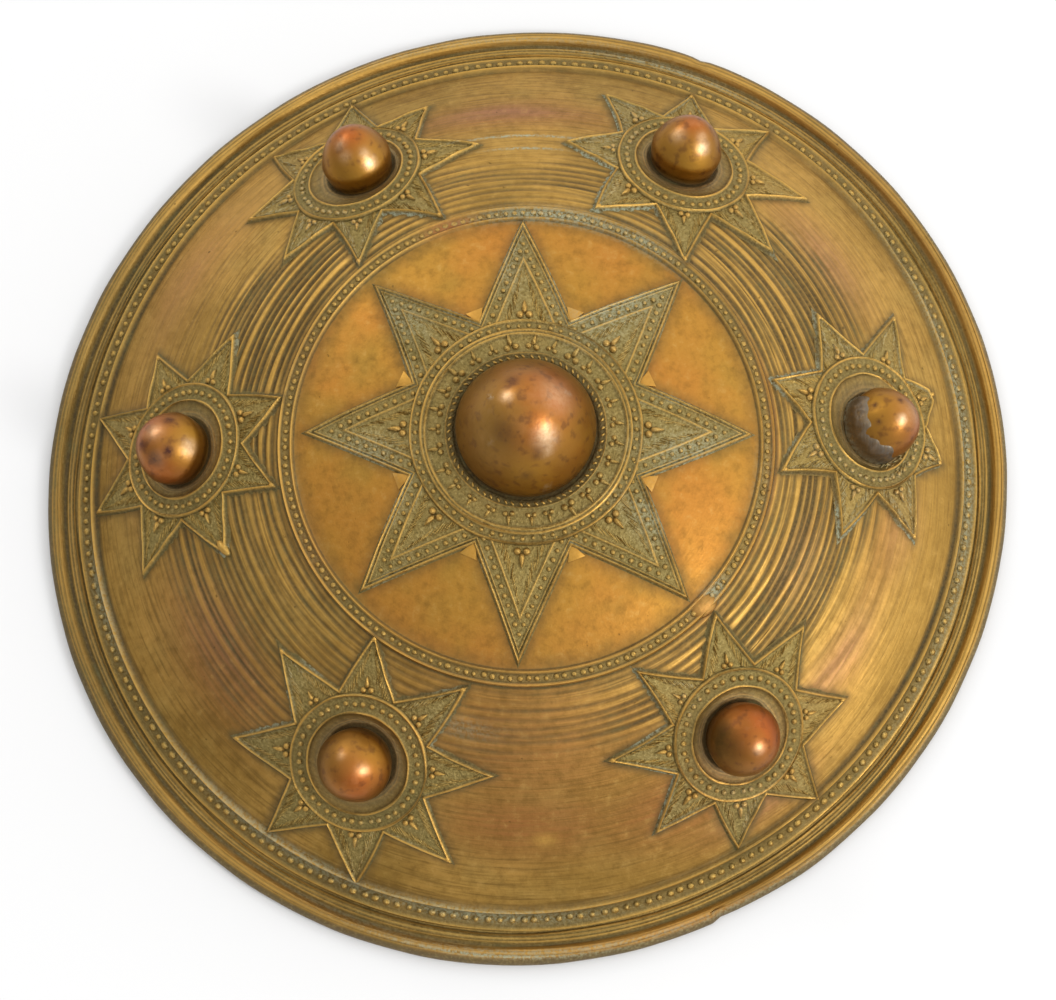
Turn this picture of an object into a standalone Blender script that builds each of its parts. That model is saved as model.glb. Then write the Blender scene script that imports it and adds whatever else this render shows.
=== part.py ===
# Buckler shield: one cast brass plate, strongly domed, with seven copper-red bosses set in it.
# Metres, +Z up. The shield lies on its rim with the domed face up, and the origin is the middle
# of the rim's underside. Azimuths are degrees from +X, turning towards +Y.
import math

import bmesh
import bpy
from mathutils import Vector

# Driving dimensions of the plate
RIM_RADIUS = 0.1400
OVALITY = 0.0124
OVAL_AZIMUTH = 47.6
WALL = 0.0028
BORDER_WIDTH = 0.0153
EDGE_HEIGHT = 0.0082
DOME_RISE = 0.0469

# Rim mouldings, counted inwards from the outer edge
EDGE_CHAMFER = 0.0006
ROLL_WIDTH = 0.0052
ROLL_SPRING = 0.0024
ROLL_HEIGHT = 0.0047
GROOVE_INSET = 0.0006
GROOVE_HEIGHT = 0.0029
RIDGES = 2
RIDGE_HEIGHT = 0.0009
BAND_WIDTH = 0.0046
BAND_HEIGHT = 0.0013
BAND_ARCH = 0.0002

# Bead ring between the smooth middle and the stars
RING_RADIUS = 0.0688
RING_WIDTH = 0.0042
RING_HEIGHT = 0.0013

# Stars: eight tips each, lying on the dome
STAR_TIPS = 8
STAR_HEIGHT = 0.0012
STAR_SINK = 0.0010
SMALL_OVERLAP = 0.0012
CENTRE_TIP_GAP = 0.0009
SMALL_FOOT_WIDTH = 0.0013
CENTRE_FOOT_WIDTH = 0.0023

# Medallions in the stars: a bead band, then a dish or a flat that falls to the boss
WIRE_WIDTH = 0.0007
MEDALLION_HEIGHT = 0.0018
SMALL_BAND_WIDTH = 0.0054
SMALL_DISH_WIDTH = 0.0037
CENTRE_BAND_WIDTH = 0.0116
CENTRE_DISH_WIDTH = 0.0012
DISH_HEIGHT = 0.0005
COLLAR_WIDTH = 0.0010

# Bosses: small knobs that are widest above the foot and a domed one in the middle, each in a
# shallow round seat
SMALL_BOSS_RADIUS = 0.0104
SMALL_BOSS_FOOT = 0.0094
SMALL_BOSS_SHOULDER = 0.0060
SMALL_BOSS_TOP = 0.0158
CENTRE_BOSS_RADIUS = 0.0195
CENTRE_BOSS_FOOT = 0.0190
CENTRE_BOSS_SHOULDER = 0.0034
CENTRE_BOSS_TOP = 0.0243
HALFWAY_SWELL = 0.8
SMALL_SEAT_DEPTH = 0.0006
CENTRE_SEAT_DEPTH = 0.0010
SEAT_CLEARANCE = 0.0005
FIT_GAP = 0.0003
NECK_HEIGHT = 0.0007

# Smooth lump of spilled wax that joins the bead ring to a star tip
LUMP_AZIMUTH = 314.0
LUMP_LENGTH = 0.0104
LUMP_WIDTH = 0.0066
LUMP_HEIGHT = 0.0021

# Chip in the rim: it starts abruptly and fades out
CHIP_AZIMUTH = 291.0
CHIP_SPAN = 11.0
CHIP_DEPTH = 0.0009

# Facets, in degrees for the round tops
SHELL_STEPS = 64
DOME_STEPS = 5
FIELD_STEPS = 3
BACK_STEPS = 7
RING_STEPS = 32
SMALL_BOSS_STEPS = 20
CENTRE_BOSS_STEPS = 32
LUMP_STEPS = 16
ROLL_LIFTS = (0, 40, 75, 110, 145)
BOSS_LIFTS = (0, 25, 48, 70)
LUMP_LIFTS = (-40, 0, 25, 50, 72)
PLATE_SHARP_ANGLE = 30
BOSS_SHARP_ANGLE = 50

# Each small star is placed by hand: azimuth, slip outwards from the middle of its zone, the
# boss's own shift outwards and anticlockwise, then the turn of each tip in degrees and its
# reach as a share of the full one
SMALL_STARS = {
    "right": (
        3.8, -0.0010, (0.0010, -0.0016),
        (0, -2, -2, 2, 3, 1, 0, 1), (0.78, 1.02, 0.95, 0.89, 0.94, 0.96, 0.98, 0.77),
    ),
    "upper_right": (
        60.9, -0.0003, (0.0003, 0.0006),
        (-6, -5, -5, -2, 2, 1, -2, -3), (0.95, 0.98, 0.94, 0.93, 1.03, 1.03, 1.03, 1.00),
    ),
    "upper_left": (
        118.5, 0.0008, (-0.0005, -0.0016),
        (7, 8, 4, -1, -1, 3, 3, 2), (0.93, 0.96, 0.96, 1.00, 0.97, 1.00, 0.91, 0.98),
    ),
    "left": (
        177.2, -0.0013, (0.0003, 0.0008),
        (2, 1, 3, -2, -2, 0, 2, 0), (0.97, 1.00, 0.96, 0.93, 0.93, 0.97, 0.93, 1.03),
    ),
    "lower_left": (
        240.4, 0.0000, (-0.0010, 0.0000),
        (-1, -1, -1, -6, -5, -5, -4, -3), (0.99, 1.02, 1.02, 1.02, 0.98, 1.04, 1.01, 0.98),
    ),
    "lower_right": (
        304.7, 0.0014, (-0.0005, -0.0004),
        (-6, 1, 1, 2, 0, -3, -6, -8), (0.94, 0.94, 0.96, 0.97, 0.99, 1.03, 0.98, 0.94),
    ),
}
CENTRE_TURNS = (0, 0, -1, -3, -4, -3, -4, -2)
CENTRE_REACHES = (0.98, 0.99, 1.00, 0.97, 0.96, 0.98, 0.99, 0.99)

# The dome is part of a sphere through its edge and its top
EDGE_RADIUS = RIM_RADIUS - BORDER_WIDTH
DOME_RADIUS = (EDGE_RADIUS**2 + DOME_RISE**2) / (2 * DOME_RISE)
DOME_CENTRE = EDGE_HEIGHT + DOME_RISE - DOME_RADIUS
INNER_RADIUS = DOME_RADIUS - WALL


def arc_of(radius):
    """Length along the dome from its top to the circle of this radius."""
    return DOME_RADIUS * math.asin(radius / DOME_RADIUS)


def dome_height(radius, above=0.0):
    return DOME_CENTRE + math.sqrt((DOME_RADIUS + above)**2 - radius**2)


def oval(point):
    """The hand-made oval: none inside the bead ring, all of it from the dome's edge outwards."""
    radius = math.hypot(point.x, point.y)
    share = (radius - RING_RADIUS) / (EDGE_RADIUS - RING_RADIUS)
    share = min(max(share, 0.0), 1.0)
    share = share * share * (3 - 2 * share)
    azimuth = math.atan2(point.y, point.x)
    turn = 2 * (azimuth - math.radians(OVAL_AZIMUTH))
    scale = 1 + OVALITY * share * math.cos(turn)
    return Vector((point.x * scale, point.y * scale, point.z))


def chip(radius, azimuth):
    """The radius with the chip taken out of the rim's outer edge."""
    along = (math.degrees(azimuth) - CHIP_AZIMUTH) % 360
    if along > CHIP_SPAN or radius < RIM_RADIUS - ROLL_WIDTH / 2:
        return radius
    return radius - CHIP_DEPTH * (1 - along / CHIP_SPAN)


class Place:
    """A place on the dome, with its own outward and anticlockwise directions."""

    def __init__(self, azimuth, arc, shift=(0.0, 0.0)):
        turn = math.radians(azimuth)
        lean = arc / DOME_RADIUS
        level = Vector((math.cos(turn), math.sin(turn), 0.0))
        upward = Vector((0.0, 0.0, 1.0))
        self.normal = level * math.sin(lean) + upward * math.cos(lean)
        self.outward = level * math.cos(lean) - upward * math.sin(lean)
        self.sideways = self.normal.cross(self.outward)
        reach = math.hypot(*shift)
        if reach > 0:
            self.normal, self.outward = self.moved(shift, reach)
            self.sideways = self.normal.cross(self.outward)
        self.foot = oval(Vector((0, 0, DOME_CENTRE)) + self.normal * DOME_RADIUS)

    def moved(self, shift, reach):
        heading = (self.outward * shift[0] + self.sideways * shift[1]) / reach
        bend = reach / DOME_RADIUS
        normal = self.normal * math.cos(bend) + heading * math.sin(bend)
        outward = (self.outward - normal * self.outward.dot(normal)).normalized()
        return normal, outward

    def draped(self, reach, angle, above):
        """The point this far along the dome in this direction, and this high above the dome."""
        heading = self.outward * math.cos(angle) + self.sideways * math.sin(angle)
        bend = reach / DOME_RADIUS
        spoke = self.normal * math.cos(bend) + heading * math.sin(bend)
        return oval(Vector((0, 0, DOME_CENTRE)) + spoke * (DOME_RADIUS + above))

    def upright(self, reach, angle, above):
        """The point at this radius round the axis through the foot, and this high along it."""
        heading = self.outward * math.cos(angle) + self.sideways * math.sin(angle)
        return self.foot + heading * reach + self.normal * above


def circle(mesh, steps, point_at):
    return [mesh.verts.new(point_at(math.tau * step / steps)) for step in range(steps)]


def bridge(mesh, lower, upper):
    """Faces between two loops of equal count that run anticlockwise."""
    count = len(lower)
    for index in range(count):
        after = (index + 1) % count
        mesh.faces.new((lower[index], lower[after], upper[after], upper[index]))


def fan(mesh, loop, tip):
    count = len(loop)
    for index in range(count):
        mesh.faces.new((loop[index], loop[(index + 1) % count], tip))


def finish_object(name, mesh, material, smooth_angle):
    bmesh.ops.recalc_face_normals(mesh, faces=mesh.faces)
    data = bpy.data.meshes.new(name)
    mesh.to_mesh(data)
    mesh.free()
    data.shade_smooth()
    data.set_sharp_from_angle(angle=math.radians(smooth_angle))
    shown = bpy.data.objects.new(name, data)
    bpy.context.scene.collection.objects.link(shown)
    if material is not None:
        data.materials.append(material)
    return shown


def metal(name, colour, roughness):
    material = bpy.data.materials.new(name)
    material.use_nodes = True
    shader = material.node_tree.nodes["Principled BSDF"]
    shader.inputs["Base Color"].default_value = (*colour, 1.0)
    shader.inputs["Metallic"].default_value = 1.0
    shader.inputs["Roughness"].default_value = roughness
    return material


def rim_profile():
    """The outer face from the underside's corner up to the dome's edge, as radius and height."""
    points = [(RIM_RADIUS - EDGE_CHAMFER, 0.0), (RIM_RADIUS, EDGE_CHAMFER)]
    for degrees in ROLL_LIFTS:
        lift = math.radians(degrees)
        inset = ROLL_WIDTH / 2 * (1 - math.cos(lift))
        points.append((RIM_RADIUS - inset, ROLL_SPRING + (ROLL_HEIGHT - ROLL_SPRING) * math.sin(lift)))
    groove = RIM_RADIUS - ROLL_WIDTH - GROOVE_INSET
    points.append((groove, GROOVE_HEIGHT))
    band_outer = EDGE_RADIUS + WIRE_WIDTH + BAND_WIDTH
    pitch = (groove - band_outer - WIRE_WIDTH) / (RIDGES + 1)
    for number in range(RIDGES):
        crest = groove - pitch * (number + 1)
        points.append((crest, GROOVE_HEIGHT + RIDGE_HEIGHT))
        points.append((crest - pitch / 2, GROOVE_HEIGHT))
    for share, arch in ((0.0, 0.0), (0.5, BAND_ARCH), (1.0, 0.0)):
        radius = band_outer - BAND_WIDTH * share
        points.append((radius, dome_height(radius) + BAND_HEIGHT + arch))
    points.append((EDGE_RADIUS, EDGE_HEIGHT))
    return points


def dome_profile():
    """The outer face from just inside the edge to the top, with the bead ring."""
    points = []
    ring_inner = RING_RADIUS - RING_WIDTH
    start = arc_of(EDGE_RADIUS)
    stop = arc_of(RING_RADIUS + WIRE_WIDTH)
    for step in range(1, DOME_STEPS):
        arc = start + (stop - start) * step / DOME_STEPS
        radius = DOME_RADIUS * math.sin(arc / DOME_RADIUS)
        points.append((radius, dome_height(radius)))
    for radius, above in (
        (RING_RADIUS + WIRE_WIDTH, 0.0),
        (RING_RADIUS, RING_HEIGHT),
        (ring_inner, RING_HEIGHT),
        (ring_inner - WIRE_WIDTH, 0.0),
    ):
        points.append((radius, dome_height(radius, above)))
    for step in range(1, FIELD_STEPS):
        radius = (ring_inner - WIRE_WIDTH) * (1 - step / FIELD_STEPS)
        points.append((radius, dome_height(radius)))
    return points


def back_profile():
    """The hollow face from its top out to the underside of the rim."""
    foot = math.sqrt(INNER_RADIUS**2 - DOME_CENTRE**2)
    points = []
    lean = math.asin(foot / INNER_RADIUS)
    for step in range(1, BACK_STEPS + 1):
        angle = lean * step / BACK_STEPS
        points.append((INNER_RADIUS * math.sin(angle), DOME_CENTRE + INNER_RADIUS * math.cos(angle)))
    points[-1] = (foot, 0.0)
    return points


def shell_mesh():
    mesh = bmesh.new()
    outer = rim_profile() + dome_profile()
    back = back_profile()

    def loop_at(radius, height):
        def point(angle):
            left = chip(radius, angle)
            return oval(Vector((left * math.cos(angle), left * math.sin(angle), height)))
        return circle(mesh, SHELL_STEPS, point)

    loops = [loop_at(*point) for point in outer]
    for lower, upper in zip(loops, loops[1:]):
        bridge(mesh, lower, upper)
    fan(mesh, loops[-1], mesh.verts.new((0, 0, DOME_CENTRE + DOME_RADIUS)))
    inner = [loop_at(*point) for point in back]
    top = mesh.verts.new((0, 0, DOME_CENTRE + INNER_RADIUS))
    fan(mesh, list(reversed(inner[0])), top)
    for nearer, farther in zip(inner, inner[1:]):
        bridge(mesh, nearer, farther)
    bridge(mesh, inner[-1], loops[0])
    return mesh


def add_star(mesh, place, full_reach, medallion, foot_width, band_width, boss_radius, turns, reaches):
    """One closed star: eight tips, a raised medallion and a dish, all lying on the dome."""
    valley_reach = medallion + foot_width
    outline = []
    for number in range(STAR_TIPS):
        tip = math.radians(360 * (number + 0.5) / STAR_TIPS + turns[number])
        after = math.radians(360 * (number + 1.5) / STAR_TIPS + turns[(number + 1) % STAR_TIPS])
        outline.append((full_reach * reaches[number], tip))
        outline.append((valley_reach, (tip + after) / 2))
    top = [mesh.verts.new(place.draped(reach, angle, STAR_HEIGHT)) for reach, angle in outline]
    bottom = [mesh.verts.new(place.draped(reach, angle, -STAR_SINK)) for reach, angle in outline]
    bridge(mesh, bottom, top)
    under = [mesh.verts.new(place.draped(full_reach / 2, angle, -STAR_SINK)) for _, angle in outline]
    bridge(mesh, under, bottom)
    fan(mesh, list(reversed(under)), mesh.verts.new(place.draped(0, 0, -STAR_SINK)))
    start = math.pi / STAR_TIPS
    loops = []
    for reach, above in (
        (medallion, STAR_HEIGHT),
        (medallion - WIRE_WIDTH, MEDALLION_HEIGHT),
        (medallion - band_width, MEDALLION_HEIGHT),
        (boss_radius + COLLAR_WIDTH, DISH_HEIGHT),
    ):
        loops.append(circle(mesh, RING_STEPS, lambda angle: place.draped(reach, angle + start, above)))
    per_side = RING_STEPS // len(top)
    for index, corner in enumerate(top):
        after = top[(index + 1) % len(top)]
        first = index * per_side
        near = [loops[0][(first + step) % RING_STEPS] for step in range(per_side + 1)]
        for step in range(per_side):
            mesh.faces.new((corner if step < per_side / 2 else after, near[step + 1], near[step]))
        mesh.faces.new((corner, after, near[per_side // 2]))
    for lower, upper in zip(loops, loops[1:]):
        bridge(mesh, lower, upper)
    fan(mesh, loops[-1], mesh.verts.new(place.draped(0, 0, DISH_HEIGHT)))


def add_lump(mesh):
    """A low cushion across the bead ring, round on top and straight-sided where it is sunk in."""
    radius = RING_RADIUS - RING_WIDTH / 2
    place = Place(LUMP_AZIMUTH, arc_of(radius))

    def loop_at(lift):
        spread = math.cos(max(lift, 0.0))

        def point(angle):
            out = LUMP_WIDTH / 2 * spread * math.cos(angle)
            side = LUMP_LENGTH / 2 * spread * math.sin(angle)
            return place.draped(math.hypot(out, side), math.atan2(side, out), LUMP_HEIGHT * math.sin(lift))
        return circle(mesh, LUMP_STEPS, point)

    loops = [loop_at(math.radians(lift)) for lift in LUMP_LIFTS]
    mesh.faces.new(list(reversed(loops[0])))
    for lower, upper in zip(loops, loops[1:]):
        bridge(mesh, lower, upper)
    mesh.faces.new(loops[-1])


def add_seat(mesh, place, foot_radius, depth, steps):
    """A short cylinder that cuts the seat for a boss."""
    reach = foot_radius + SEAT_CLEARANCE
    floor = circle(mesh, steps, lambda angle: place.upright(reach, angle, -depth))
    ceiling = circle(mesh, steps, lambda angle: place.upright(reach, angle, STAR_HEIGHT + MEDALLION_HEIGHT))
    mesh.faces.new(list(reversed(floor)))
    bridge(mesh, floor, ceiling)
    mesh.faces.new(ceiling)


def boss_profile(radius, foot, shoulder, top, depth):
    """A neck in the seat, a swell out to the shoulder, then a round top."""
    points = [(foot, FIT_GAP - depth), (foot, NECK_HEIGHT)]
    points.append((foot + HALFWAY_SWELL * (radius - foot), (NECK_HEIGHT + shoulder) / 2))
    for degrees in BOSS_LIFTS:
        lift = math.radians(degrees)
        points.append((radius * math.cos(lift), shoulder + (top - shoulder) * math.sin(lift)))
    return points


def boss_mesh(place, profile, top, steps):
    mesh = bmesh.new()

    def loop_at(radius, above):
        return circle(mesh, steps, lambda angle: place.upright(radius, angle, above))

    loops = [loop_at(*point) for point in profile]
    mesh.faces.new(list(reversed(loops[0])))
    for lower, upper in zip(loops, loops[1:]):
        bridge(mesh, lower, upper)
    fan(mesh, loops[-1], mesh.verts.new(place.upright(0, 0, top)))
    return mesh


def hidden_helper(name, mesh):
    helper = finish_object(name, mesh, None, PLATE_SHARP_ANGLE)
    helper.hide_render = True
    helper.display_type = "WIRE"
    return helper


def boolean(target, helper, operation):
    change = target.modifiers.new(helper.name, "BOOLEAN")
    change.object = helper
    change.operation = operation
    change.solver = "EXACT"


def build():
    for old in list(bpy.data.objects):
        bpy.data.objects.remove(old)
    brass = metal("old cast brass", (0.33, 0.22, 0.06), 0.42)
    copper = metal("red copper alloy", (0.42, 0.15, 0.06), 0.28)

    zone_inner = arc_of(RING_RADIUS)
    zone_outer = arc_of(EDGE_RADIUS)
    small_arc = (zone_inner + zone_outer) / 2
    half_zone = (zone_outer - zone_inner) / 2
    small_tip = (half_zone + SMALL_OVERLAP) / math.cos(math.pi / STAR_TIPS)
    small_medallion = SMALL_BOSS_RADIUS + SMALL_DISH_WIDTH + SMALL_BAND_WIDTH
    centre_tip = arc_of(RING_RADIUS - RING_WIDTH) - CENTRE_TIP_GAP
    centre_medallion = CENTRE_BOSS_RADIUS + CENTRE_DISH_WIDTH + CENTRE_BAND_WIDTH

    ornament = bmesh.new()
    lump = bmesh.new()
    seats = bmesh.new()
    middle = Place(-180 / STAR_TIPS, 0.0)
    add_star(
        ornament, middle, centre_tip, centre_medallion, CENTRE_FOOT_WIDTH,
        CENTRE_BAND_WIDTH, CENTRE_BOSS_RADIUS, CENTRE_TURNS, CENTRE_REACHES,
    )
    add_seat(seats, middle, CENTRE_BOSS_FOOT, CENTRE_SEAT_DEPTH, CENTRE_BOSS_STEPS)
    centre_profile = boss_profile(
        CENTRE_BOSS_RADIUS, CENTRE_BOSS_FOOT, CENTRE_BOSS_SHOULDER, CENTRE_BOSS_TOP, CENTRE_SEAT_DEPTH
    )
    centre_boss = boss_mesh(middle, centre_profile, CENTRE_BOSS_TOP, CENTRE_BOSS_STEPS)
    finish_object("centre_boss", centre_boss, copper, BOSS_SHARP_ANGLE)

    small_profile = boss_profile(
        SMALL_BOSS_RADIUS, SMALL_BOSS_FOOT, SMALL_BOSS_SHOULDER, SMALL_BOSS_TOP, SMALL_SEAT_DEPTH
    )
    for name, (azimuth, slip, shift, turns, reaches) in SMALL_STARS.items():
        star = Place(azimuth, small_arc + slip)
        add_star(
            ornament, star, small_tip, small_medallion, SMALL_FOOT_WIDTH,
            SMALL_BAND_WIDTH, SMALL_BOSS_RADIUS, turns, reaches,
        )
        seat = Place(azimuth, small_arc + slip, shift)
        add_seat(seats, seat, SMALL_BOSS_FOOT, SMALL_SEAT_DEPTH, SMALL_BOSS_STEPS)
        small_boss = boss_mesh(seat, small_profile, SMALL_BOSS_TOP, SMALL_BOSS_STEPS)
        finish_object(name + "_boss", small_boss, copper, BOSS_SHARP_ANGLE)
    add_lump(lump)

    plate = finish_object("shield_plate", shell_mesh(), brass, PLATE_SHARP_ANGLE)
    boolean(plate, hidden_helper("stars_guide", ornament), "UNION")
    boolean(plate, hidden_helper("lump_guide", lump), "UNION")
    boolean(plate, hidden_helper("seats_cutter", seats), "DIFFERENCE")


build()
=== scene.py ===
import math

import bpy
import numpy as np
from mathutils import Matrix


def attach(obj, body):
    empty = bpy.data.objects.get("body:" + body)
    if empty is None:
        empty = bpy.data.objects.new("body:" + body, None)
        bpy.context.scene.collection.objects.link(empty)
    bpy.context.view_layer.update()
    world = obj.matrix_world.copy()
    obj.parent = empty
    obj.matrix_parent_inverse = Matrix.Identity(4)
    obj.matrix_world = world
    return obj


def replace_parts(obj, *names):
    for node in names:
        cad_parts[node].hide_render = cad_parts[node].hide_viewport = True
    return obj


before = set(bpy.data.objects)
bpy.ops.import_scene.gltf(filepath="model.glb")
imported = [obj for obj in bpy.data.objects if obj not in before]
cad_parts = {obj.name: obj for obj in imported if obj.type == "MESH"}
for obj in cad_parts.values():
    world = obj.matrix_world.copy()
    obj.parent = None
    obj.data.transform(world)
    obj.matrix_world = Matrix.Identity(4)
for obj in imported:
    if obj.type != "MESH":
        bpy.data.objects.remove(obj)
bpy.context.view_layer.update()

# Buckler: a cast brass shield with stars, bead rows and seven copper-red bosses.
# Lengths in this script are millimetres and azimuths are degrees from +X towards +Y;
# addPiece turns them into metres.

form = {  # the dome, as in the CAD
    "domeEdge": 124.7,  # where the dome meets the flat rim
    "edgeHeight": 8.2,
    "domeRise": 46.9,
    "wall": 2.8,
    "ovality": 0.0124,  # made by hand, so not quite round
    "ovalTowards": 47.6,
    "ringRadius": 68.8,  # inside this the shield is round
    "middle": 64,  # the smooth middle, inside the bead ring
}
domeRadius = (form["domeEdge"] ** 2 + form["domeRise"] ** 2) / (2 * form["domeRise"])
domeCentre = form["edgeHeight"] + form["domeRise"] - domeRadius
backRadius = domeRadius - form["wall"]
buried = -0.8  # how far raised work is sunk into the dome


def ease(share):
    share = np.clip(share, 0, 1)
    return share * share * (3 - 2 * share)


def hump(distance, width):
    return np.exp(-((distance / width) ** 2))


def apart(angle, other):  # the difference of two angles in degrees, from -180 to 180
    return (angle - other + 180) % 360 - 180


def unit(vector):
    return vector / np.linalg.norm(vector)


def turnOf(way):  # the angle in degrees of a direction in the plane
    return math.degrees(math.atan2(way[1], way[0]))


def wayOf(turn):
    return np.array([math.cos(math.radians(turn)), math.sin(math.radians(turn))])


def polar(points):
    return np.hypot(points[:, 0], points[:, 1]), np.degrees(np.arctan2(points[:, 1], points[:, 0]))


def waves(azimuth, seed, orders):  # a smooth closed curve of hand-made unevenness, about -1 to 1
    draw = np.random.default_rng(seed)
    turn = np.radians(azimuth)
    total = np.zeros_like(turn)
    for order in orders:
        total += draw.normal() * np.cos(order * turn + draw.uniform(0, math.tau))
    return total / math.sqrt(len(orders))


def arcOf(radius):
    return domeRadius * np.arcsin(radius / domeRadius)


def ovalScale(points):
    radius = np.hypot(points[:, 0], points[:, 1])
    share = ease((radius - form["ringRadius"]) / (form["domeEdge"] - form["ringRadius"]))
    turn = 2 * (np.arctan2(points[:, 1], points[:, 0]) - math.radians(form["ovalTowards"]))
    return 1 + form["ovality"] * share * np.cos(turn)


def ovalled(points):
    scale = ovalScale(points)
    return points * np.c_[scale, scale, np.ones_like(scale)]


# A seat is a place on the dome with its own outward and anticlockwise directions
def seatAt(azimuth, arc, shift=(0.0, 0.0)):
    turn, lean = math.radians(azimuth), arc / domeRadius
    level = np.array([math.cos(turn), math.sin(turn), 0])
    normal = level * math.sin(lean) + np.array([0, 0, math.cos(lean)])
    outward = level * math.cos(lean) - np.array([0, 0, math.sin(lean)])
    reach = math.hypot(*shift)
    if reach > 0:
        heading = (outward * shift[0] + np.cross(normal, outward) * shift[1]) / reach
        bend = reach / domeRadius
        normal = normal * math.cos(bend) + heading * math.sin(bend)
        outward = unit(outward - normal * outward.dot(normal))
    foot = ovalled(np.array([[0, 0, domeCentre]]) + normal * domeRadius)[0]
    return {"normal": normal, "outward": outward, "sideways": np.cross(normal, outward), "foot": foot}


def headings(seat, turn):  # directions along the dome, turn in radians anticlockwise from outward
    return np.cos(turn)[:, None] * seat["outward"] + np.sin(turn)[:, None] * seat["sideways"]


def drape(seat, x, y, above):  # x outward and y anticlockwise along the dome, above it by "above"
    x, y, above = np.broadcast_arrays(np.asarray(x, float), y, above)
    x, y, above = x.ravel(), y.ravel(), above.ravel()
    bend = (np.hypot(x, y) / domeRadius)[:, None]
    spoke = seat["normal"] * np.cos(bend) + headings(seat, np.arctan2(y, x)) * np.sin(bend)
    return ovalled(np.array([0, 0, domeCentre]) + spoke * (domeRadius + above)[:, None])


def undrape(seat, points):  # the x and y of points on the dome, seen from a seat
    scale = ovalScale(points)
    spoke = points / np.c_[scale, scale, np.ones_like(scale)] - np.array([0, 0, domeCentre])
    spoke /= np.linalg.norm(spoke, axis=1, keepdims=True)
    reach = np.arccos(np.clip(spoke @ seat["normal"], -1, 1)) * domeRadius
    angle = np.arctan2(spoke @ seat["sideways"], spoke @ seat["outward"])
    return reach * np.cos(angle), reach * np.sin(angle)


domeTop = seatAt(0.0, 0.0)


# Materials

def linear(hexColour):
    parts = [int(hexColour[i:i + 2], 16) / 255 for i in (1, 3, 5)]
    return tuple(p / 12.92 if p <= 0.04045 else ((p + 0.055) / 1.055) ** 2.4 for p in parts) + (1.0,)


def addNode(tree, kind, inputs, **settings):
    made = tree.nodes.new("ShaderNode" + kind)
    for key, value in settings.items():
        setattr(made, key, value)
    for key, value in inputs.items():
        if isinstance(value, bpy.types.NodeSocket):
            tree.links.new(value, made.inputs[key])
        else:
            made.inputs[key].default_value = value
    return made


def startMetal(name, spec):  # a new material with the marks painted on the mesh and its clouds of noise
    material = bpy.data.materials.new(name)
    material.use_nodes = True
    tree = material.node_tree
    place = addNode(tree, "TexCoord", {}).outputs["Object"]
    mark = {key: addNode(tree, "Attribute", {}, attribute_name=key).outputs["Fac"] for key in spec["marks"]}
    clouds = {}
    for key, (size, detail, rough, seed) in spec["clouds"].items():
        clouds[key] = addNode(tree, "TexNoise", {"Vector": place, "W": seed, "Scale": 1000 / size,
                              "Detail": detail, "Roughness": rough}, noise_dimensions="4D").outputs["Fac"]
    return material, tree, place, mark, clouds


def layered(tree, spec, colour, mark, clouds):  # lays the tones in order, and tells how dull they leave it
    dull = None
    for tint, markKey, cloudKey, low, high, least, most in spec["layers"]:
        share = addNode(tree, "MapRange", {"Value": clouds[cloudKey], "From Min": low, "From Max": high,
                        "To Min": least, "To Max": most}).outputs["Result"]
        if markKey:
            share = addNode(tree, "Math", {0: share, 1: mark[markKey]}, operation="MULTIPLY",
                            use_clamp=True).outputs[0]
        colour = addNode(tree, "Mix", {0: share, 6: colour, 7: linear(tint)}, data_type="RGBA").outputs[2]
        if markKey in spec["dull"]:
            dull = share if dull is None else addNode(tree, "Math", {0: dull, 1: share},
                                                      operation="MAXIMUM").outputs[0]
    return colour, dull


def finishMetal(tree, spec, colour, bare, rough, heights):  # bare is where the metal isn't covered
    shader = tree.nodes["Principled BSDF"]
    tree.links.new(colour, shader.inputs["Base Color"])
    tree.links.new(bare, shader.inputs["Metallic"])
    tree.links.new(rough, shader.inputs["Roughness"])
    normal = {}
    for key, (strength, depth) in spec["bumps"].items():
        bump = addNode(tree, "Bump", {"Strength": strength, "Distance": depth / 1000,
                       "Height": heights[key], **normal})
        normal = {"Normal": bump.outputs[0]}
    tree.links.new(normal["Normal"], shader.inputs["Normal"])


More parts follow.
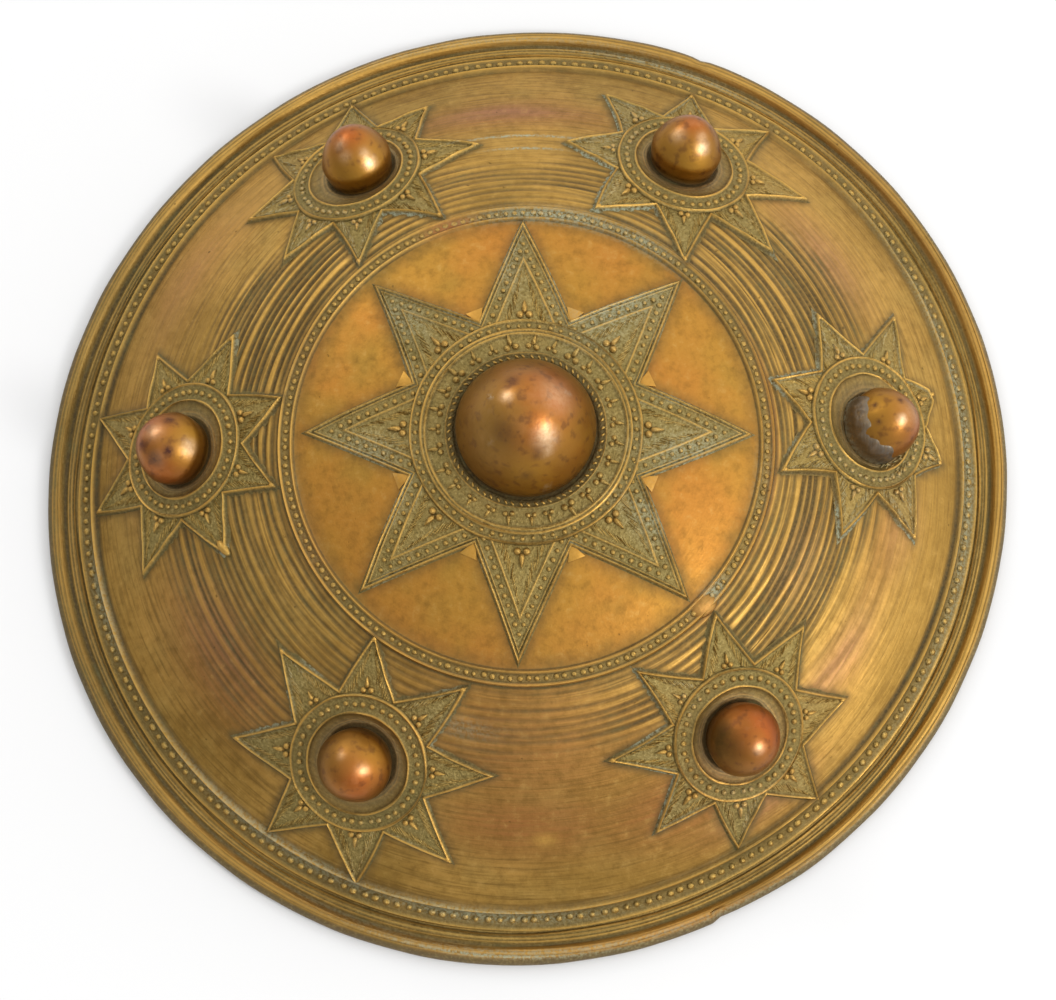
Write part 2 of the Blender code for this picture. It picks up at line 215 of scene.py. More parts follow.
rubbedBrass = {
    "marks": ("grimeAndShade", "polish", "red", "mauve", "gold", "crust", "pale", "plum", "slate"),
    "dull": ("grimeAndShade", "pale"),  # the marks that hide the metal's shine
    "clouds": {  # grain size in mm, detail, roughness, seed
        "broad": (40, 3, 0.55, 1.0), "patch": (17, 3, 0.55, 3.0), "blotch": (6, 4, 0.6, 5.0),
        "mottle": (2.6, 5, 0.65, 7.0), "speck": (0.9, 3, 0.6, 9.0), "pit": (2.2, 2, 0.5, 13.0),
        "crumb": (0.75, 3, 0.65, 17.0),
    },
    "layers": (  # tone, the mark painted on the mesh that it follows, cloud and its range, share range
        ("#86682F", None, "broad", 0.42, 0.60, 0.0, 0.65),  # olive-brown where handling left it dull
        ("#A98C4C", None, "patch", 0.50, 0.66, 0.0, 0.5),  # yellower patches
        ("#6E5228", None, "brushing", 0.30, 0.50, 0.6, 0.0),  # brown lines of the brushing
        ("#AC7E35", "gold", "blotch", 0.2, 0.5, 0.95, 1.0),  # the smooth middle
        ("#B57534", "gold", "broad", 0.42, 0.62, 0.0, 0.6),  # orange in the middle
        ("#9A7E3A", "gold", "patch", 0.50, 0.66, 0.0, 0.4),  # olive in the middle
        ("#9A6038", "red", "brushing", 0.30, 0.58, 0.45, 1.0),  # coppery wear
        ("#A07060", "mauve", "brushing", 0.30, 0.6, 0.4, 0.9),  # pink-brown bloom
        ("#4E565E", "slate", "speck", 0.3, 0.6, 0.75, 1.0),  # blue-grey crust
        ("#5C4540", "plum", "blotch", 0.3, 0.6, 0.7, 1.0),  # purple-brown oxide, mostly on the rim's face
        ("#6B4E22", None, "mottle", 0.48, 0.70, 0.0, 0.45),  # fine brown mottling all over
        ("#C9A25C", None, "mottle", 0.30, 0.44, 0.3, 0.0),  # and small lighter rubs
        ("#958650", "crust", "patch", 0.3, 0.7, 0.6, 0.9),  # olive crust between the wires
        ("#B9A468", "crust", "crumb", 0.52, 0.64, 0.0, 0.7),  # its lighter grains
        ("#5A4B22", "crust", "crumb", 0.32, 0.46, 0.6, 0.0),  # and darker ones
        ("#C89B4C", "polish", "speck", 0.3, 0.6, 0.55, 0.95),  # crests that hands have rubbed
        ("#4A3B1A", "grimeAndShade", "speck", 0.3, 0.62, 0.75, 1.1),  # brown-black dirt in recesses, and painted shade at the band's step and round the stars' feet
        ("#666038", "grimeAndShade", "blotch", 0.50, 0.66, 0.0, 0.55),  # greenish dirt
        ("#A0A68E", "pale", "crumb", 0.40, 0.56, 0.0, 1.0),  # dry pale verdigris
        ("#4E3A1C", None, "pit", 0.72, 0.76, 0.0, 0.6),  # casting pits
    ),
    "bumps": {"mottle": (0.35, 0.3), "speck": (0.4, 0.12), "crumb": (0.8, 0.7), "brushing": (0.7, 0.2)},
    "body": "#AA8644",  # golden-olive brass
    "streak": "#C99C50",
    "streakShare": 0.42,
    "streakWidth": 0.7,  # mm across a brushed line
    "streakWaves": 6,  # how often its noise changes in a radian round the shield
    "dirtyMetal": 0.4,  # metallic under full dirt
    "goldLines": 0.3,  # how much of the brushing's relief is left in the smooth middle
    "rough": (0.44, 0.56),
    "polishSmooths": 0.14,
    "dirtRoughens": 0.25,
}


def rubbedCastBrass(name):
    # Cast leaded brass, rubbed by hand: warm olive metal, golden crests, dull dirt in the hollows and painted
    # shade at the feet of the raised work
    spec = rubbedBrass
    material, tree, place, mark, clouds = startMetal(name, spec)
    # brushing runs round the shield: noise that is short across and long along
    flat = addNode(tree, "VectorMath", {0: place, 1: (1, 1, 0)}, operation="MULTIPLY").outputs[0]
    radius = addNode(tree, "VectorMath", {0: flat}, operation="LENGTH").outputs["Value"]
    across = addNode(tree, "Math", {0: radius, 1: 1000 / spec["streakWidth"]},
                     operation="MULTIPLY").outputs[0]
    lift = addNode(tree, "CombineXYZ", {2: across}).outputs[0]
    heading = addNode(tree, "VectorMath", {0: flat}, operation="NORMALIZE").outputs[0]
    along = (spec["streakWaves"], spec["streakWaves"], 0)
    path = addNode(tree, "VectorMath", {0: heading, 1: along, 2: lift}, operation="MULTIPLY_ADD").outputs[0]
    brushing = addNode(tree, "TexNoise", {"Vector": path, "Scale": 1.0, "Detail": 3.0,
                       "Roughness": 0.6}).outputs["Fac"]
    clouds["brushing"] = brushing

    streak = addNode(tree, "MapRange", {"Value": brushing, "From Min": 0.45, "From Max": 0.7,
                     "To Min": 0.0, "To Max": spec["streakShare"]}).outputs["Result"]
    colour = addNode(tree, "Mix", {0: streak, 6: linear(spec["body"]), 7: linear(spec["streak"])},
                     data_type="RGBA").outputs[2]
    colour, dull = layered(tree, spec, colour, mark, clouds)
    bare = addNode(tree, "MapRange", {"Value": dull, "To Min": 1.0,
                   "To Max": spec["dirtyMetal"]}).outputs["Result"]
    least, most = spec["rough"]
    rough = addNode(tree, "MapRange", {"Value": clouds["patch"], "From Min": 0.3, "From Max": 0.7,
                    "To Min": least, "To Max": most}).outputs["Result"]
    rough = addNode(tree, "Math", {0: mark["polish"], 1: -spec["polishSmooths"], 2: rough},
                    operation="MULTIPLY_ADD").outputs[0]
    rough = addNode(tree, "Math", {0: dull, 1: spec["dirtRoughens"], 2: rough},
                    operation="MULTIPLY_ADD").outputs[0]

    crumbs = addNode(tree, "Math", {0: clouds["crumb"], 1: mark["crust"]}, operation="MULTIPLY").outputs[0]
    lined = addNode(tree, "MapRange", {"Value": mark["gold"], "To Min": 1.0,
                    "To Max": spec["goldLines"]}).outputs["Result"]
    lines = addNode(tree, "Math", {0: brushing, 1: lined}, operation="MULTIPLY").outputs[0]
    finishMetal(tree, spec, colour, bare, rough, {**clouds, "crumb": crumbs, "brushing": lines})
    return material


rubbedCopper = {
    "marks": ("crown", "ochre", "paintedShade", "bright", "spot", "foot", "pale"),
    "dull": ("paintedShade", "spot", "foot"),
    "clouds": {  # grain size in mm, detail, roughness, seed
        "broad": (14, 3, 0.55, 2.0), "blotch": (5, 4, 0.6, 6.0), "speck": (1.1, 3, 0.6, 4.0),
        "stain": (2.6, 2, 0.5, 8.0),
    },
    "layers": (  # as for the brass
        ("#A4592A", "crown", "broad", 0.3, 0.55, 0.5, 1.0),  # copper red where hands rub
        ("#B87A4C", "crown", "blotch", 0.50, 0.68, 0.0, 0.5),  # pinker patches
        ("#A0742A", "ochre", "blotch", 0.3, 0.6, 0.6, 1.0),  # yellow-brown towards one side
        ("#4A3C1E", "paintedShade", "blotch", 0.25, 0.6, 0.6, 1.0),  # painted shade: olive-black on the side of each boss away from the light
        ("#5E3A26", None, "stain", 0.54, 0.68, 0.0, 0.5),  # oxide stains
        ("#E0BE96", "bright", "speck", 0.25, 0.6, 0.5, 1.0),  # painted highlight: whitish patches where the lamps' highlights fall
        ("#3E272A", "spot", "speck", 0.35, 0.6, 0.6, 1.0),  # purple-black spots
        ("#43361F", "foot", "speck", 0.3, 0.6, 0.8, 1.0),  # dirt at the foot
        ("#BDB29A", "pale", "speck", 0.40, 0.56, 0.0, 1.0),  # pale nicks
    ),
    "bumps": {"blotch": (0.5, 0.3), "speck": (0.3, 0.1)},
    "body": "#956A30",  # brown copper under the rubbed crown
    "dirtyMetal": 0.5,
    "rough": (0.32, 0.45),
    "dirtRoughens": 0.2,
}


def rubbedCopperAlloy(name):
    # Cast red copper alloy, rubbed smooth: soft highlight helped by painted highlight patches, painted shade
    # on one side, dark oxide spots, dull foot
    spec = rubbedCopper
    material, tree, _, mark, clouds = startMetal(name, spec)
    colour, dull = layered(tree, spec, linear(spec["body"]), mark, clouds)
    bare = addNode(tree, "MapRange", {"Value": mark["foot"], "To Min": 1.0,
                   "To Max": spec["dirtyMetal"]}).outputs["Result"]
    least, most = spec["rough"]
    rough = addNode(tree, "MapRange", {"Value": clouds["blotch"], "From Min": 0.3, "From Max": 0.7,
                    "To Min": least, "To Max": most}).outputs["Result"]
    rough = addNode(tree, "Math", {0: dull, 1: spec["dirtRoughens"], 2: rough},
                    operation="MULTIPLY_ADD").outputs[0]
    finishMetal(tree, spec, colour, bare, rough, clouds)
    return material


brass = rubbedCastBrass("rubbedCastBrass")
copper = rubbedCopperAlloy("rubbedCopperAlloy")
print("materials ready")


# Meshes

def addPiece(name, part, material=brass, sharp=60):
    points, faces, marks = part
    mesh = bpy.data.meshes.new(name)
    mesh.from_pydata((np.asarray(points, float) / 1000).tolist(), [], faces)
    for key, values in marks.items():
        layer = mesh.attributes.new(key, "FLOAT", "POINT")
        layer.data.foreach_set("value", np.clip(np.asarray(values, np.float32), 0, 1))
    mesh.shade_smooth()
    mesh.set_sharp_from_angle(angle=math.radians(sharp))
    mesh.materials.append(material)
    piece = bpy.data.objects.new(name, mesh)
    bpy.context.scene.collection.objects.link(piece)
    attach(piece, "root")
    return piece


def joined(parts):  # several (points, faces, marks) as one
    allPoints, allFaces, allMarks, start = [], [], {}, 0
    for points, faces, marks in parts:
        allPoints.append(points)
        allFaces.extend([tuple(i + start for i in face) for face in faces])
        for key, values in marks.items():
            allMarks.setdefault(key, []).append(np.broadcast_to(values, len(points)))
        start += len(points)
    return np.concatenate(allPoints), allFaces, {k: np.concatenate(v) for k, v in allMarks.items()}


def ringFaces(rows, columns):  # quads between closed rings, first ring lowest
    first = np.arange((rows - 1) * columns).reshape(rows - 1, columns)
    after = np.roll(first, -1, axis=1)
    quads = np.stack([first, after, after + columns, first + columns], axis=-1)
    return [tuple(q) for q in quads.reshape(-1, 4).tolist()]


def closedRings(rows, columns):  # the same with a fan to one point below and one above
    faces = ringFaces(rows, columns)
    last = rows * columns
    for index in range(columns):
        after = (index + 1) % columns
        faces.append((after, index, last))
        faces.append((last - columns + index, last - columns + after, last + 1))
    return faces


def weld(points, faces, marks):  # joins points that lie on each other and drops flat faces
    keys = np.round(points * 2000).astype(np.int64)
    _, first, place = np.unique(keys, axis=0, return_index=True, return_inverse=True)
    place = place.ravel()
    kept = []
    for face in faces:
        loop = []
        for index in face:
            spot = int(place[index])
            if spot not in loop:
                loop.append(spot)
        if len(loop) > 2:
            kept.append(tuple(loop))
    return points[first], kept, {k: np.asarray(v)[first] for k, v in marks.items()}


# Worn, red and pale places: azimuth, radius, half-length in degrees, half-width in mm, strength
handMarks = {
    "red": (
        (-66, 106, 16, 10, 0.8), (-92, 84, 26, 22, 0.55), (-38, 107, 10, 6, 0.35), (-16, 104, 12, 6, 0.35),
        (38, 107, 14, 6, 0.35), (90, 105, 17, 6, 0.6), (146, 113, 13, 8, 0.5), (214, 104, 17, 11, 0.6),
        (268, 104, 16, 9, 0.7), (178, 112, 10, 6, 0.4), (300, 117, 12, 5, 0.5),
        # on the bead ring and the rim
        (108, 66.7, 8, 2.2, 1.0), (0, 68.6, 30, 1.4, 1.0), (157, 66.7, 12, 2.4, 0.6),
        (205, 66.7, 12, 2.4, 0.8), (262, 68.6, 30, 1.0, 0.6), (314, 67.3, 5, 3.5, 0.8),
        (288, 137, 15, 1.8, 1.0), (250, 137, 28, 1.5, 0.35), (38, 137, 30, 1.6, 0.6),
    ),
    "mauve": (
        (-36, 105, 9, 4, 0.6), (-12, 108, 7, 5, 0.35), (34, 106, 10, 6, 0.55), (92, 106, 10, 3, 0.6),
        (148, 114, 9, 4, 0.3), (210, 100, 10, 8, 0.3), (303, 116, 7, 4, 0.4), (-24, 82, 9, 5, 0.35),
    ),
    "pale": (
        (256, 81, 6, 2.5, 0.25), (89, 96, 12, 0.4, 1.0), (88.5, 91, 6, 0.4, 0.9),
        # on the bead ring, the bead band and the rim
        (80, 66.7, 17, 2.4, 0.8), (60, 66.7, 9, 2.4, 0.6), (318, 66.7, 4, 1.8, 0.7),
        (236, 127.5, 18, 1.6, 0.5), (196, 127.5, 8, 1.6, 0.5), (262, 127.5, 14, 1.5, 0.6),
        (2, 127.5, 26, 1.5, 0.6), (264, 138.2, 14, 0.5, 0.9), (70, 134.5, 12, 0.8, 0.6),
        (275, 136.8, 34, 0.8, 0.4), (92, 136.8, 26, 0.8, 0.3),
        # on the centre star's tips
        (58, 48, 13, 15, 0.75), (-10, 47, 9, 13, 0.6), (188, 47, 9, 11, 0.6), (-36, 42, 8, 9, 0.5),
        (134, 48, 8, 9, 0.4), (95, 52, 6, 12, 0.4),
    ),
    "polish": (
        (271, 107.9, 1.6, 1.6, 0.8), (252, 128.6, 1.1, 1.4, 0.9), (-16, 114, 26, 9, 0.4),
        (42, 112, 24, 9, 0.45), (140, 113, 22, 8, 0.45), (-8, 86, 22, 15, 0.35), (92, 86, 18, 12, 0.25),
        (56, 112, 14, 9, 0.4), (-38, 112, 10, 8, 0.4),
    ),
}
goldEdge = (64.6, 0.8)  # the smooth middle ends at this radius, over this width
plumEdge = (138.0, 0.4)  # and the rim's purple-brown face starts here


def zoneMarks(points, onField=False):
    radius, azimuth = polar(points)
    result = {}
    for key, spots in handMarks.items():
        total = np.zeros(len(points))
        for towards, middle, length, width, strength in spots:
            spot = strength * hump(apart(azimuth, towards), length) * hump(radius - middle, width)
            total = np.maximum(total, spot)
        result[key] = total
    result["gold"] = ease((goldEdge[0] - radius) / goldEdge[1]) * float(onField)
    result["plum"] = ease((radius / ovalScale(points) - plumEdge[0]) / plumEdge[1])
    return result


# Stars: every tip has its own reach in mm and its own turn in degrees, as they were laid by hand
smallStar = {
    "valley": 20.8, "corner": 1.3, "columns": 20, "bow": 0.28,
    "beadRing": 16.7, "bead": 0.9,
    "trefoil": (3.2, 1.15),  # how far before a tip's foot, and its size
    "blobShare": 0.6,  # of the tips that end in a blob of wax, where two wires meet
    "barbs": {"start": 3.0, "stop": 1.0, "pitch": 0.72, "inset": 0.95, "longest": 3.2, "lean": (4, 16)},
    "rows": (  # inset from the outline, height, dirt and polish: a foot of dirt, a wire, then the floor
        (-1.15, buried, 0.7, 0), (-1.1, -0.22, 0.5, 0), (-0.55, -0.02, 0.8, 0), (-0.18, 0.2, 0.7, 0),
        (0.0, 0.55, 0.3, 0.2), (0.14, 1.0, 0.0, 0.6), (0.36, 1.22, 0.0, 0.9), (0.58, 1.02, 0.0, 0.5),
        (0.74, 0.66, 0.35, 0.1), (0.9, 0.46, 0.5, 0), (1.3, 0.44, 0.2, 0),
    ),
}
centreStar = {
    "valley": 34.5, "corner": 1.95, "columns": 26, "bow": 0.18,
    "beads": (66, 30.2, 0.74),  # count, radius and size
    "rope": (64, 21.0),
    "trefoils": (27, 23.9, 1.15), "tipTrefoil": (4.4, 1.35),
    "edgeBeads": {"start": 10.5, "stop": 0.6, "pitch": 2.75, "inset": 3.0, "size": 0.76},
    "filler": (36.7, 2.9, 0.55),  # radius, size and height of the plain triangles in the valleys
    "barbs": {"start": 14.0, "stop": 2.0, "pitch": 0.8, "inset": 5.5, "longest": 3.4, "lean": (4, 14)},
    "rows": (
        (-1.0, buried, 0.6, 0), (-0.95, -0.2, 0.3, 0), (-0.5, -0.02, 0.5, 0), (-0.18, 0.15, 0.6, 0),
        (0.0, 0.5, 0.3, 0.2), (0.14, 0.92, 0.0, 0.6), (0.36, 1.15, 0.0, 0.8), (0.58, 0.95, 0.05, 0.4),
        (0.78, 0.55, 0.5, 0), (0.98, 0.48, 0.6, 0), (1.16, 0.75, 0.2, 0.2), (1.34, 0.9, 0.05, 0.5),
        (1.54, 0.72, 0.2, 0.2), (1.74, 0.48, 0.5, 0), (1.95, 0.42, 0.25, 0), (4.15, 0.42, 0.25, 0),
        (4.4, 0.6, 0.3, 0.1), (4.6, 0.92, 0.05, 0.4), (4.8, 1.02, 0.0, 0.65), (5.0, 0.9, 0.1, 0.4),
        (5.25, 0.6, 0.4, 0), (5.6, 0.45, 0.2, 0),
    ),
}
# azimuth, slip outwards, the boss's own shift, beads round the medallion, and reach and turn of each tip
smallStars = {
    "right": (3.8, -1.0, (1.0, -1.6), 42, (
        (28.6, 0.3), (37.8, -2.5), (34.9, -1.9), (32.8, 1.8),
        (34.8, 3.4), (35.5, 1.4), (36.3, 0.3), (28.3, 0.7))),
    "upper_right": (60.9, -0.3, (0.3, 0.6), 41, (
        (35.1, -5.6), (36.1, -5.4), (34.8, -4.8), (34.4, -2.5),
        (38.1, 1.9), (38.2, 0.9), (38.1, -2.2), (37.0, -2.6))),
    "upper_left": (118.5, 0.8, (-0.5, -1.6), 42, (
        (34.5, 6.6), (35.3, 7.7), (35.4, 3.8), (37.0, -1.1),
        (35.9, -1.4), (37.0, 3.3), (33.4, 3.0), (36.3, 2.4))),
    "left": (177.2, -1.3, (0.3, 0.8), 42, (
        (35.7, 1.5), (37.1, 0.6), (35.4, 3.3), (34.3, -1.7),
        (34.3, -2.3), (35.9, -0.2), (34.2, 2.0), (37.9, -0.2))),
    "lower_left": (240.4, 0.0, (-1.0, 0.0), 40, (
        (36.7, -1.3), (37.8, -1.1), (37.8, -1.4), (37.8, -6.2),
        (36.3, -5.0), (38.3, -5.4), (37.4, -3.9), (36.2, -3.4))),
    "lower_right": (304.7, 1.4, (-0.5, -0.4), 39, (
        (34.8, -5.8), (34.6, 1.2), (35.4, 1.1), (35.9, 1.5),
        (36.4, 0.5), (38.1, -2.9), (36.0, -5.9), (34.8, -7.5))),
}
centreTips = (
    (63.5, -0.5), (64.4, 0.2), (65.3, -0.8), (63.0, -3.2),
    (62.5, -3.5), (63.4, -3.2), (64.3, -3.7), (64.2, -2.4),
)
# azimuths, and more or less verdigris on the stars there
starPatina = ((0, 60, 118, 180, 240, 305), (0.25, 0.45, 0.35, -0.3, 0.1, -0.5))
bluntTips = {("right", 0): 2.0, ("right", 7): 0.9, ("left", 2): 1.2}  # how much is missing, in mm
starZone = (arcOf(form["ringRadius"]) + arcOf(form["domeEdge"])) / 2


def titleOf(name):
    return name.replace("_", " ").title().replace(" ", "")


def starOutline(spec, tips):
    angles = np.radians([45 * (k + 0.5) + turn for k, (_, turn) in enumerate(tips)])
    apexes = [reach * np.array([math.cos(a), math.sin(a)]) for a, (reach, _) in zip(angles, tips)]
    valleys = []
    for k in range(8):
        after = angles[(k + 1) % 8] + (math.tau if k == 7 else 0)
        middle = (angles[k] + after) / 2
        valleys.append(spec["valley"] * np.array([math.cos(middle), math.sin(middle)]))
    return apexes, valleys


starSeats = {name: (seatAt(azimuth, starZone + slip), smallStar, tips)
             for name, (azimuth, slip, shift, beads, tips) in smallStars.items()}
starSeats["centre"] = (seatAt(-22.5, 0.0), centreStar, centreTips)


def starDistance(points):  # how far points of the dome lie outside the nearest star
    farAway = 99.0
    nearest = np.full(len(points), farAway)
    for seat, spec, tips in starSeats.values():
        x, y = undrape(seat, points)
        near = np.hypot(x, y) < 75  # no star reaches so far
        spots = np.c_[x[near], y[near]]
        apexes, valleys = starOutline(spec, tips)
        corners = [p for pair in zip(apexes, valleys) for p in pair]
        found = np.full(len(spots), farAway)
        inside = np.zeros(len(spots), bool)
        for first, second in zip(corners, corners[1:] + corners[:1]):
            way = second - first
            share = np.clip(((spots - first) @ way) / way.dot(way), 0, 1)
            found = np.minimum(found, np.linalg.norm(spots - first - share[:, None] * way, axis=1))
            crosses = (first[1] > spots[:, 1]) != (second[1] > spots[:, 1])
            with np.errstate(divide="ignore", invalid="ignore"):
                edge = first[0] + (spots[:, 1] - first[1]) * way[0] / way[1]
            inside ^= crosses & (spots[:, 0] < edge)
        nearest[near] = np.minimum(nearest[near], np.where(inside, 0, found))
    return nearest


plate = {
    "segments": 336,
    "threadsFrom": 70.9, "threadsTo": 116,
    "threadPitch": (1.5, 2.45), "threadWidth": (0.75, 0.95),
    "threadDepth": 0.55, "threadDrift": 0.25,
    # the broad waves at the lower right: azimuth, half-length, pitch and height
    "swell": (332, 26, 4.7, 0.17),
    "threadReach": (  # azimuth, radius that the wax threads reach, strength
        (-90, 88, 0.4), (-50, 100, 0.9), (-10, 102, 1.0), (32, 103, 1.2), (58, 100, 1.0), (90, 90, 0.5),
        (115, 97, 0.7), (145, 98, 1.0), (175, 100, 1.0), (215, 112, 0.65), (250, 100, 0.5),
    ),
    "chip": (291.0, 11.0, 0.9),  # azimuth, span and depth
    "nick": (66.5, 0.8, 0.5),  # azimuth, half-length and depth
    "bandStep": (32.5, 0.35),  # azimuth and height of the joint in the bead band
    "unevenness": 0.12,  # of the mouldings
    "edgeWaves": 0.10,  # of the rim's edge
    "backSteps": 22,
    "castSkin": 0.12,  # roughness of the hollow back
}
plateWear = {
    "backDirt": 0.35, "backCrust": 0.5,
    "grooveDirt": 0.85, "fullGroove": 0.36,  # the depth at which a groove holds all its dirt
    "faceDirt": 0.7,  # the rim's face is rubbed cleaner than the rest
    "rimPatches": 0.12,
    "rimDirt": (188, 45, 0.3),  # azimuth, half-length and strength
    "stepPaintedShade": ((172, 42), (335, 30)),  # azimuth and half-length where the painted shadow in the step inside the band is darkest
    # darkening round the feet of the stars and inside the ring, dirt and painted shade: width and strength
    "starFoot": (1.5, 0.75), "middleStarFoot": (2.4, 0.45), "ringFoot": (2.0, 0.35),
    "facePolish": 0.3, "faceDullest": (190, 60),  # the azimuth and half-length that have none of it
    "threadPolish": 0.5,
    "bandCrust": 0.55,
}
rimProfile = (  # radius, height, dirt and polish from the underside up to the bead band
    (139.3, 0.0, 0.5, 0), (139.85, 0.45, 0.5, 0), (139.9, 1.6, 0.35, 0), (139.75, 2.5, 0.3, 0),
    (139.35, 3.4, 0.3, 0), (138.8, 4.05, 0.25, 0), (138.3, 4.4, 0.2, 0.2), (137.95, 4.6, 0.1, 0.7),
    (137.65, 4.4, 0.6, 0), (137.35, 4.5, 0.2, 0.3), (137.0, 4.68, 0.0, 0.6), (136.65, 4.55, 0.25, 0.1),
    (136.3, 4.55, 0.0, 0.5), (135.9, 4.3, 0.0, 0.4), (135.5, 3.9, 0.1, 0.2), (135.1, 3.4, 0.4, 0),
    (134.75, 2.95, 0.7, 0), (134.35, 2.85, 0.7, 0), (134.0, 3.1, 0.35, 0), (133.75, 3.4, 0.15, 0.3),
    (133.55, 3.52, 0.0, 0.6), (133.3, 3.35, 0.25, 0.1), (133.05, 3.2, 0.45, 0), (132.8, 3.35, 0.2, 0.2),
    (132.6, 3.46, 0.05, 0.5), (132.35, 3.3, 0.3, 0.1), (132.1, 3.2, 0.4, 0), (131.85, 3.45, 0.15, 0.3),
    (131.6, 3.8, 0.0, 0.8), (131.35, 3.5, 0.25, 0.2), (131.05, 3.25, 0.5, 0), (130.8, 3.32, 0.2, 0.2),
    (130.55, 3.42, 0.15, 0.3), (130.3, 3.3, 0.45, 0),
)
bandProfile = (  # radius, height above the dome, dirt and polish across the outer bead band and the step
    (130.05, 0.35, 0.5, 0), (129.9, 0.95, 0.2, 0.2), (129.6, 1.35, 0, 0.7), (129.25, 0.95, 0.3, 0.1),
    (128.9, 0.6, 0.6, 0), (128.2, 0.5, 0.4, 0), (127.5, 0.5, 0.4, 0), (126.8, 0.5, 0.4, 0),
    (126.1, 0.6, 0.6, 0), (125.75, 0.95, 0.3, 0.1), (125.4, 1.35, 0, 0.9), (125.05, 0.9, 0.2, 0.3),
    # the high dirt at the step also paints the step's shadow: painted shade
    (124.75, 0.1, 0.9, 0), (124.45, -0.12, 0.9, 0), (124.0, -0.03, 0.4, 0),
)
ringProfile = (  # the same across the inner bead ring
    (69.9, 0.0, 0.2, 0), (69.5, -0.1, 0.55, 0), (69.15, -0.12, 0.85, 0), (68.95, 0.3, 0.4, 0.2),
    (68.7, 0.95, 0.05, 0.8), (68.4, 1.25, 0, 1), (68.05, 0.95, 0.1, 0.6), (67.8, 0.55, 0.7, 0),
    (67.3, 0.45, 0.35, 0), (66.7, 0.45, 0.35, 0), (66.1, 0.45, 0.35, 0), (65.6, 0.5, 0.6, 0),
    (65.3, 0.85, 0.2, 0.5), (65.0, 1.05, 0, 1.0), (64.7, 0.7, 0.2, 0.4), (64.45, 0.1, 0.8, 0),
    (64.1, 0.0, 0.3, 0),
)
beadRows = {  # the two bead rows of the shield itself
    "rimBeads": {"radius": 127.5, "count": 250, "bead": 1.1, "height": 1.0, "above": 0.5, "seed": 21},
    "ringBeads": {"radius": 66.7, "count": 170, "bead": 0.86, "height": 0.76, "above": 0.42, "seed": 22,
                  "worn": (107, 9)},  # azimuth and half-length where the ring is rubbed flat
}


def threadRelief(radius, azimuth):  # grooves between the wax threads that were laid round the dome
    spec = plate
    draw = np.random.default_rng(11)
    relief = np.zeros(radius.shape)
    towards, reaches, strengths = np.array(spec["threadReach"], float).T
    reach = np.interp(azimuth % 360, towards % 360, reaches, period=360)
    strength = np.interp(azimuth % 360, towards % 360, strengths, period=360)
    centre, number = spec["threadsFrom"], 0
    while centre < spec["threadsTo"]:
        drift = spec["threadDrift"] * waves(azimuth, 100 + number, (1, 2, 3, 5, 9))
        depth = draw.uniform(0.8, 1.0) * (0.9 + 0.28 * waves(azimuth, 200 + number, (1, 2, 4, 7, 12)))
        away = np.abs(radius - centre - drift) / draw.uniform(*spec["threadWidth"])
        relief = np.minimum(relief, -np.clip(depth, 0.15, 1.2) * np.maximum(0, 1 - away) ** 0.9)
        pitch = draw.uniform(*spec["threadPitch"])
        # a fainter line on some crests, where a thread was laid double
        faint = np.clip(0.1 + 0.4 * waves(azimuth, 400 + number, (1, 2, 3)), 0, 0.45)
        relief -= faint * np.maximum(0, 1 - np.abs(radius - centre - drift - pitch * 0.5) / 0.3)
        centre += pitch
        number += 1
    fade = ease((reach + 3 * waves(azimuth, 55, (2, 5, 9)) - radius) / 8)
    share = strength * (0.12 + 0.88 * fade)
    return relief * spec["threadDepth"] * share, share


def swellRelief(radius, azimuth):  # the broad waves, between the ring and the stars' tips
    towards, length, pitch, height = plate["swell"]
    swell = np.cos(math.tau * (radius + 2.2 * waves(azimuth, 66, (2, 3, 5, 7))) / pitch) - 1
    within = ease((112 - radius) / 6) * ease((radius - 70.5) / 3)
    return swell * height * hump(apart(azimuth, towards), length) * within


def plateRows():  # radius, height, height above the dome, dirt, polish and whether the row is on the dome
    smooth = [(radius, 0, 0, 0) for radius in np.arange(123.3, 114.5, -0.8)]
    smooth += [(radius, 0, 0, 0) for radius in np.arange(114.3, 70.1, -0.27)]
    middle = [(radius, 0, 0, 0) for radius in np.linspace(62.8, 4.0, 22)]
    onDome = [(r, 0, a, d, p, 1) for r, a, d, p in (*bandProfile, *smooth, *ringProfile, *middle)]
    return np.array([(r, h, 0, d, p, 0) for r, h, d, p in rimProfile] + onDome, float)


def plateFront(table, radius, turn, relief):  # the rim and the front, row by row
    spec = plate
    onDome = table[:, 5:] > 0
    at, step = spec["bandStep"]
    joint = step * (ease(apart(turn, at) / 0.8) - 1) * hump(apart(turn, at - 3), 3.5)
    sphere = domeRadius + table[:, 2:3] + relief + joint * ((radius > 125.2) & (radius < 130.1))
    lean = np.arcsin(radius / domeRadius)
    flat = np.where(onDome, sphere * np.sin(lean), radius)
    height = np.where(onDome, domeCentre + sphere * np.cos(lean), table[:, 1:2])
    # a slight unevenness in every moulding
    slack = np.zeros_like(radius)
    for number in range(len(rimProfile) + len(bandProfile)):
        slack[number] = waves(turn[number], 300 + number // 4, (2, 3, 5, 8, 13, 21)) * spec["unevenness"]
    flat = flat + slack * ((radius < 138.2) & (radius > 123))
    # the chip, the wavy edge and the nick
    start, span, depth = spec["chip"]
    along = (turn - start) % 360
    flat -= depth * (1 - along / span) * ((along < span) & (radius > 137.2))
    flat -= spec["edgeWaves"] * (1 + waves(turn, 77, (3, 7, 11, 19, 31))).clip(0, 2) * (radius > 138.2)
    at, length, depth = spec["nick"]
    flat -= depth * hump(apart(turn, at), length) * (radius > 137.2)
    return np.stack([flat * np.cos(np.radians(turn)), flat * np.sin(np.radians(turn)), height], -1)


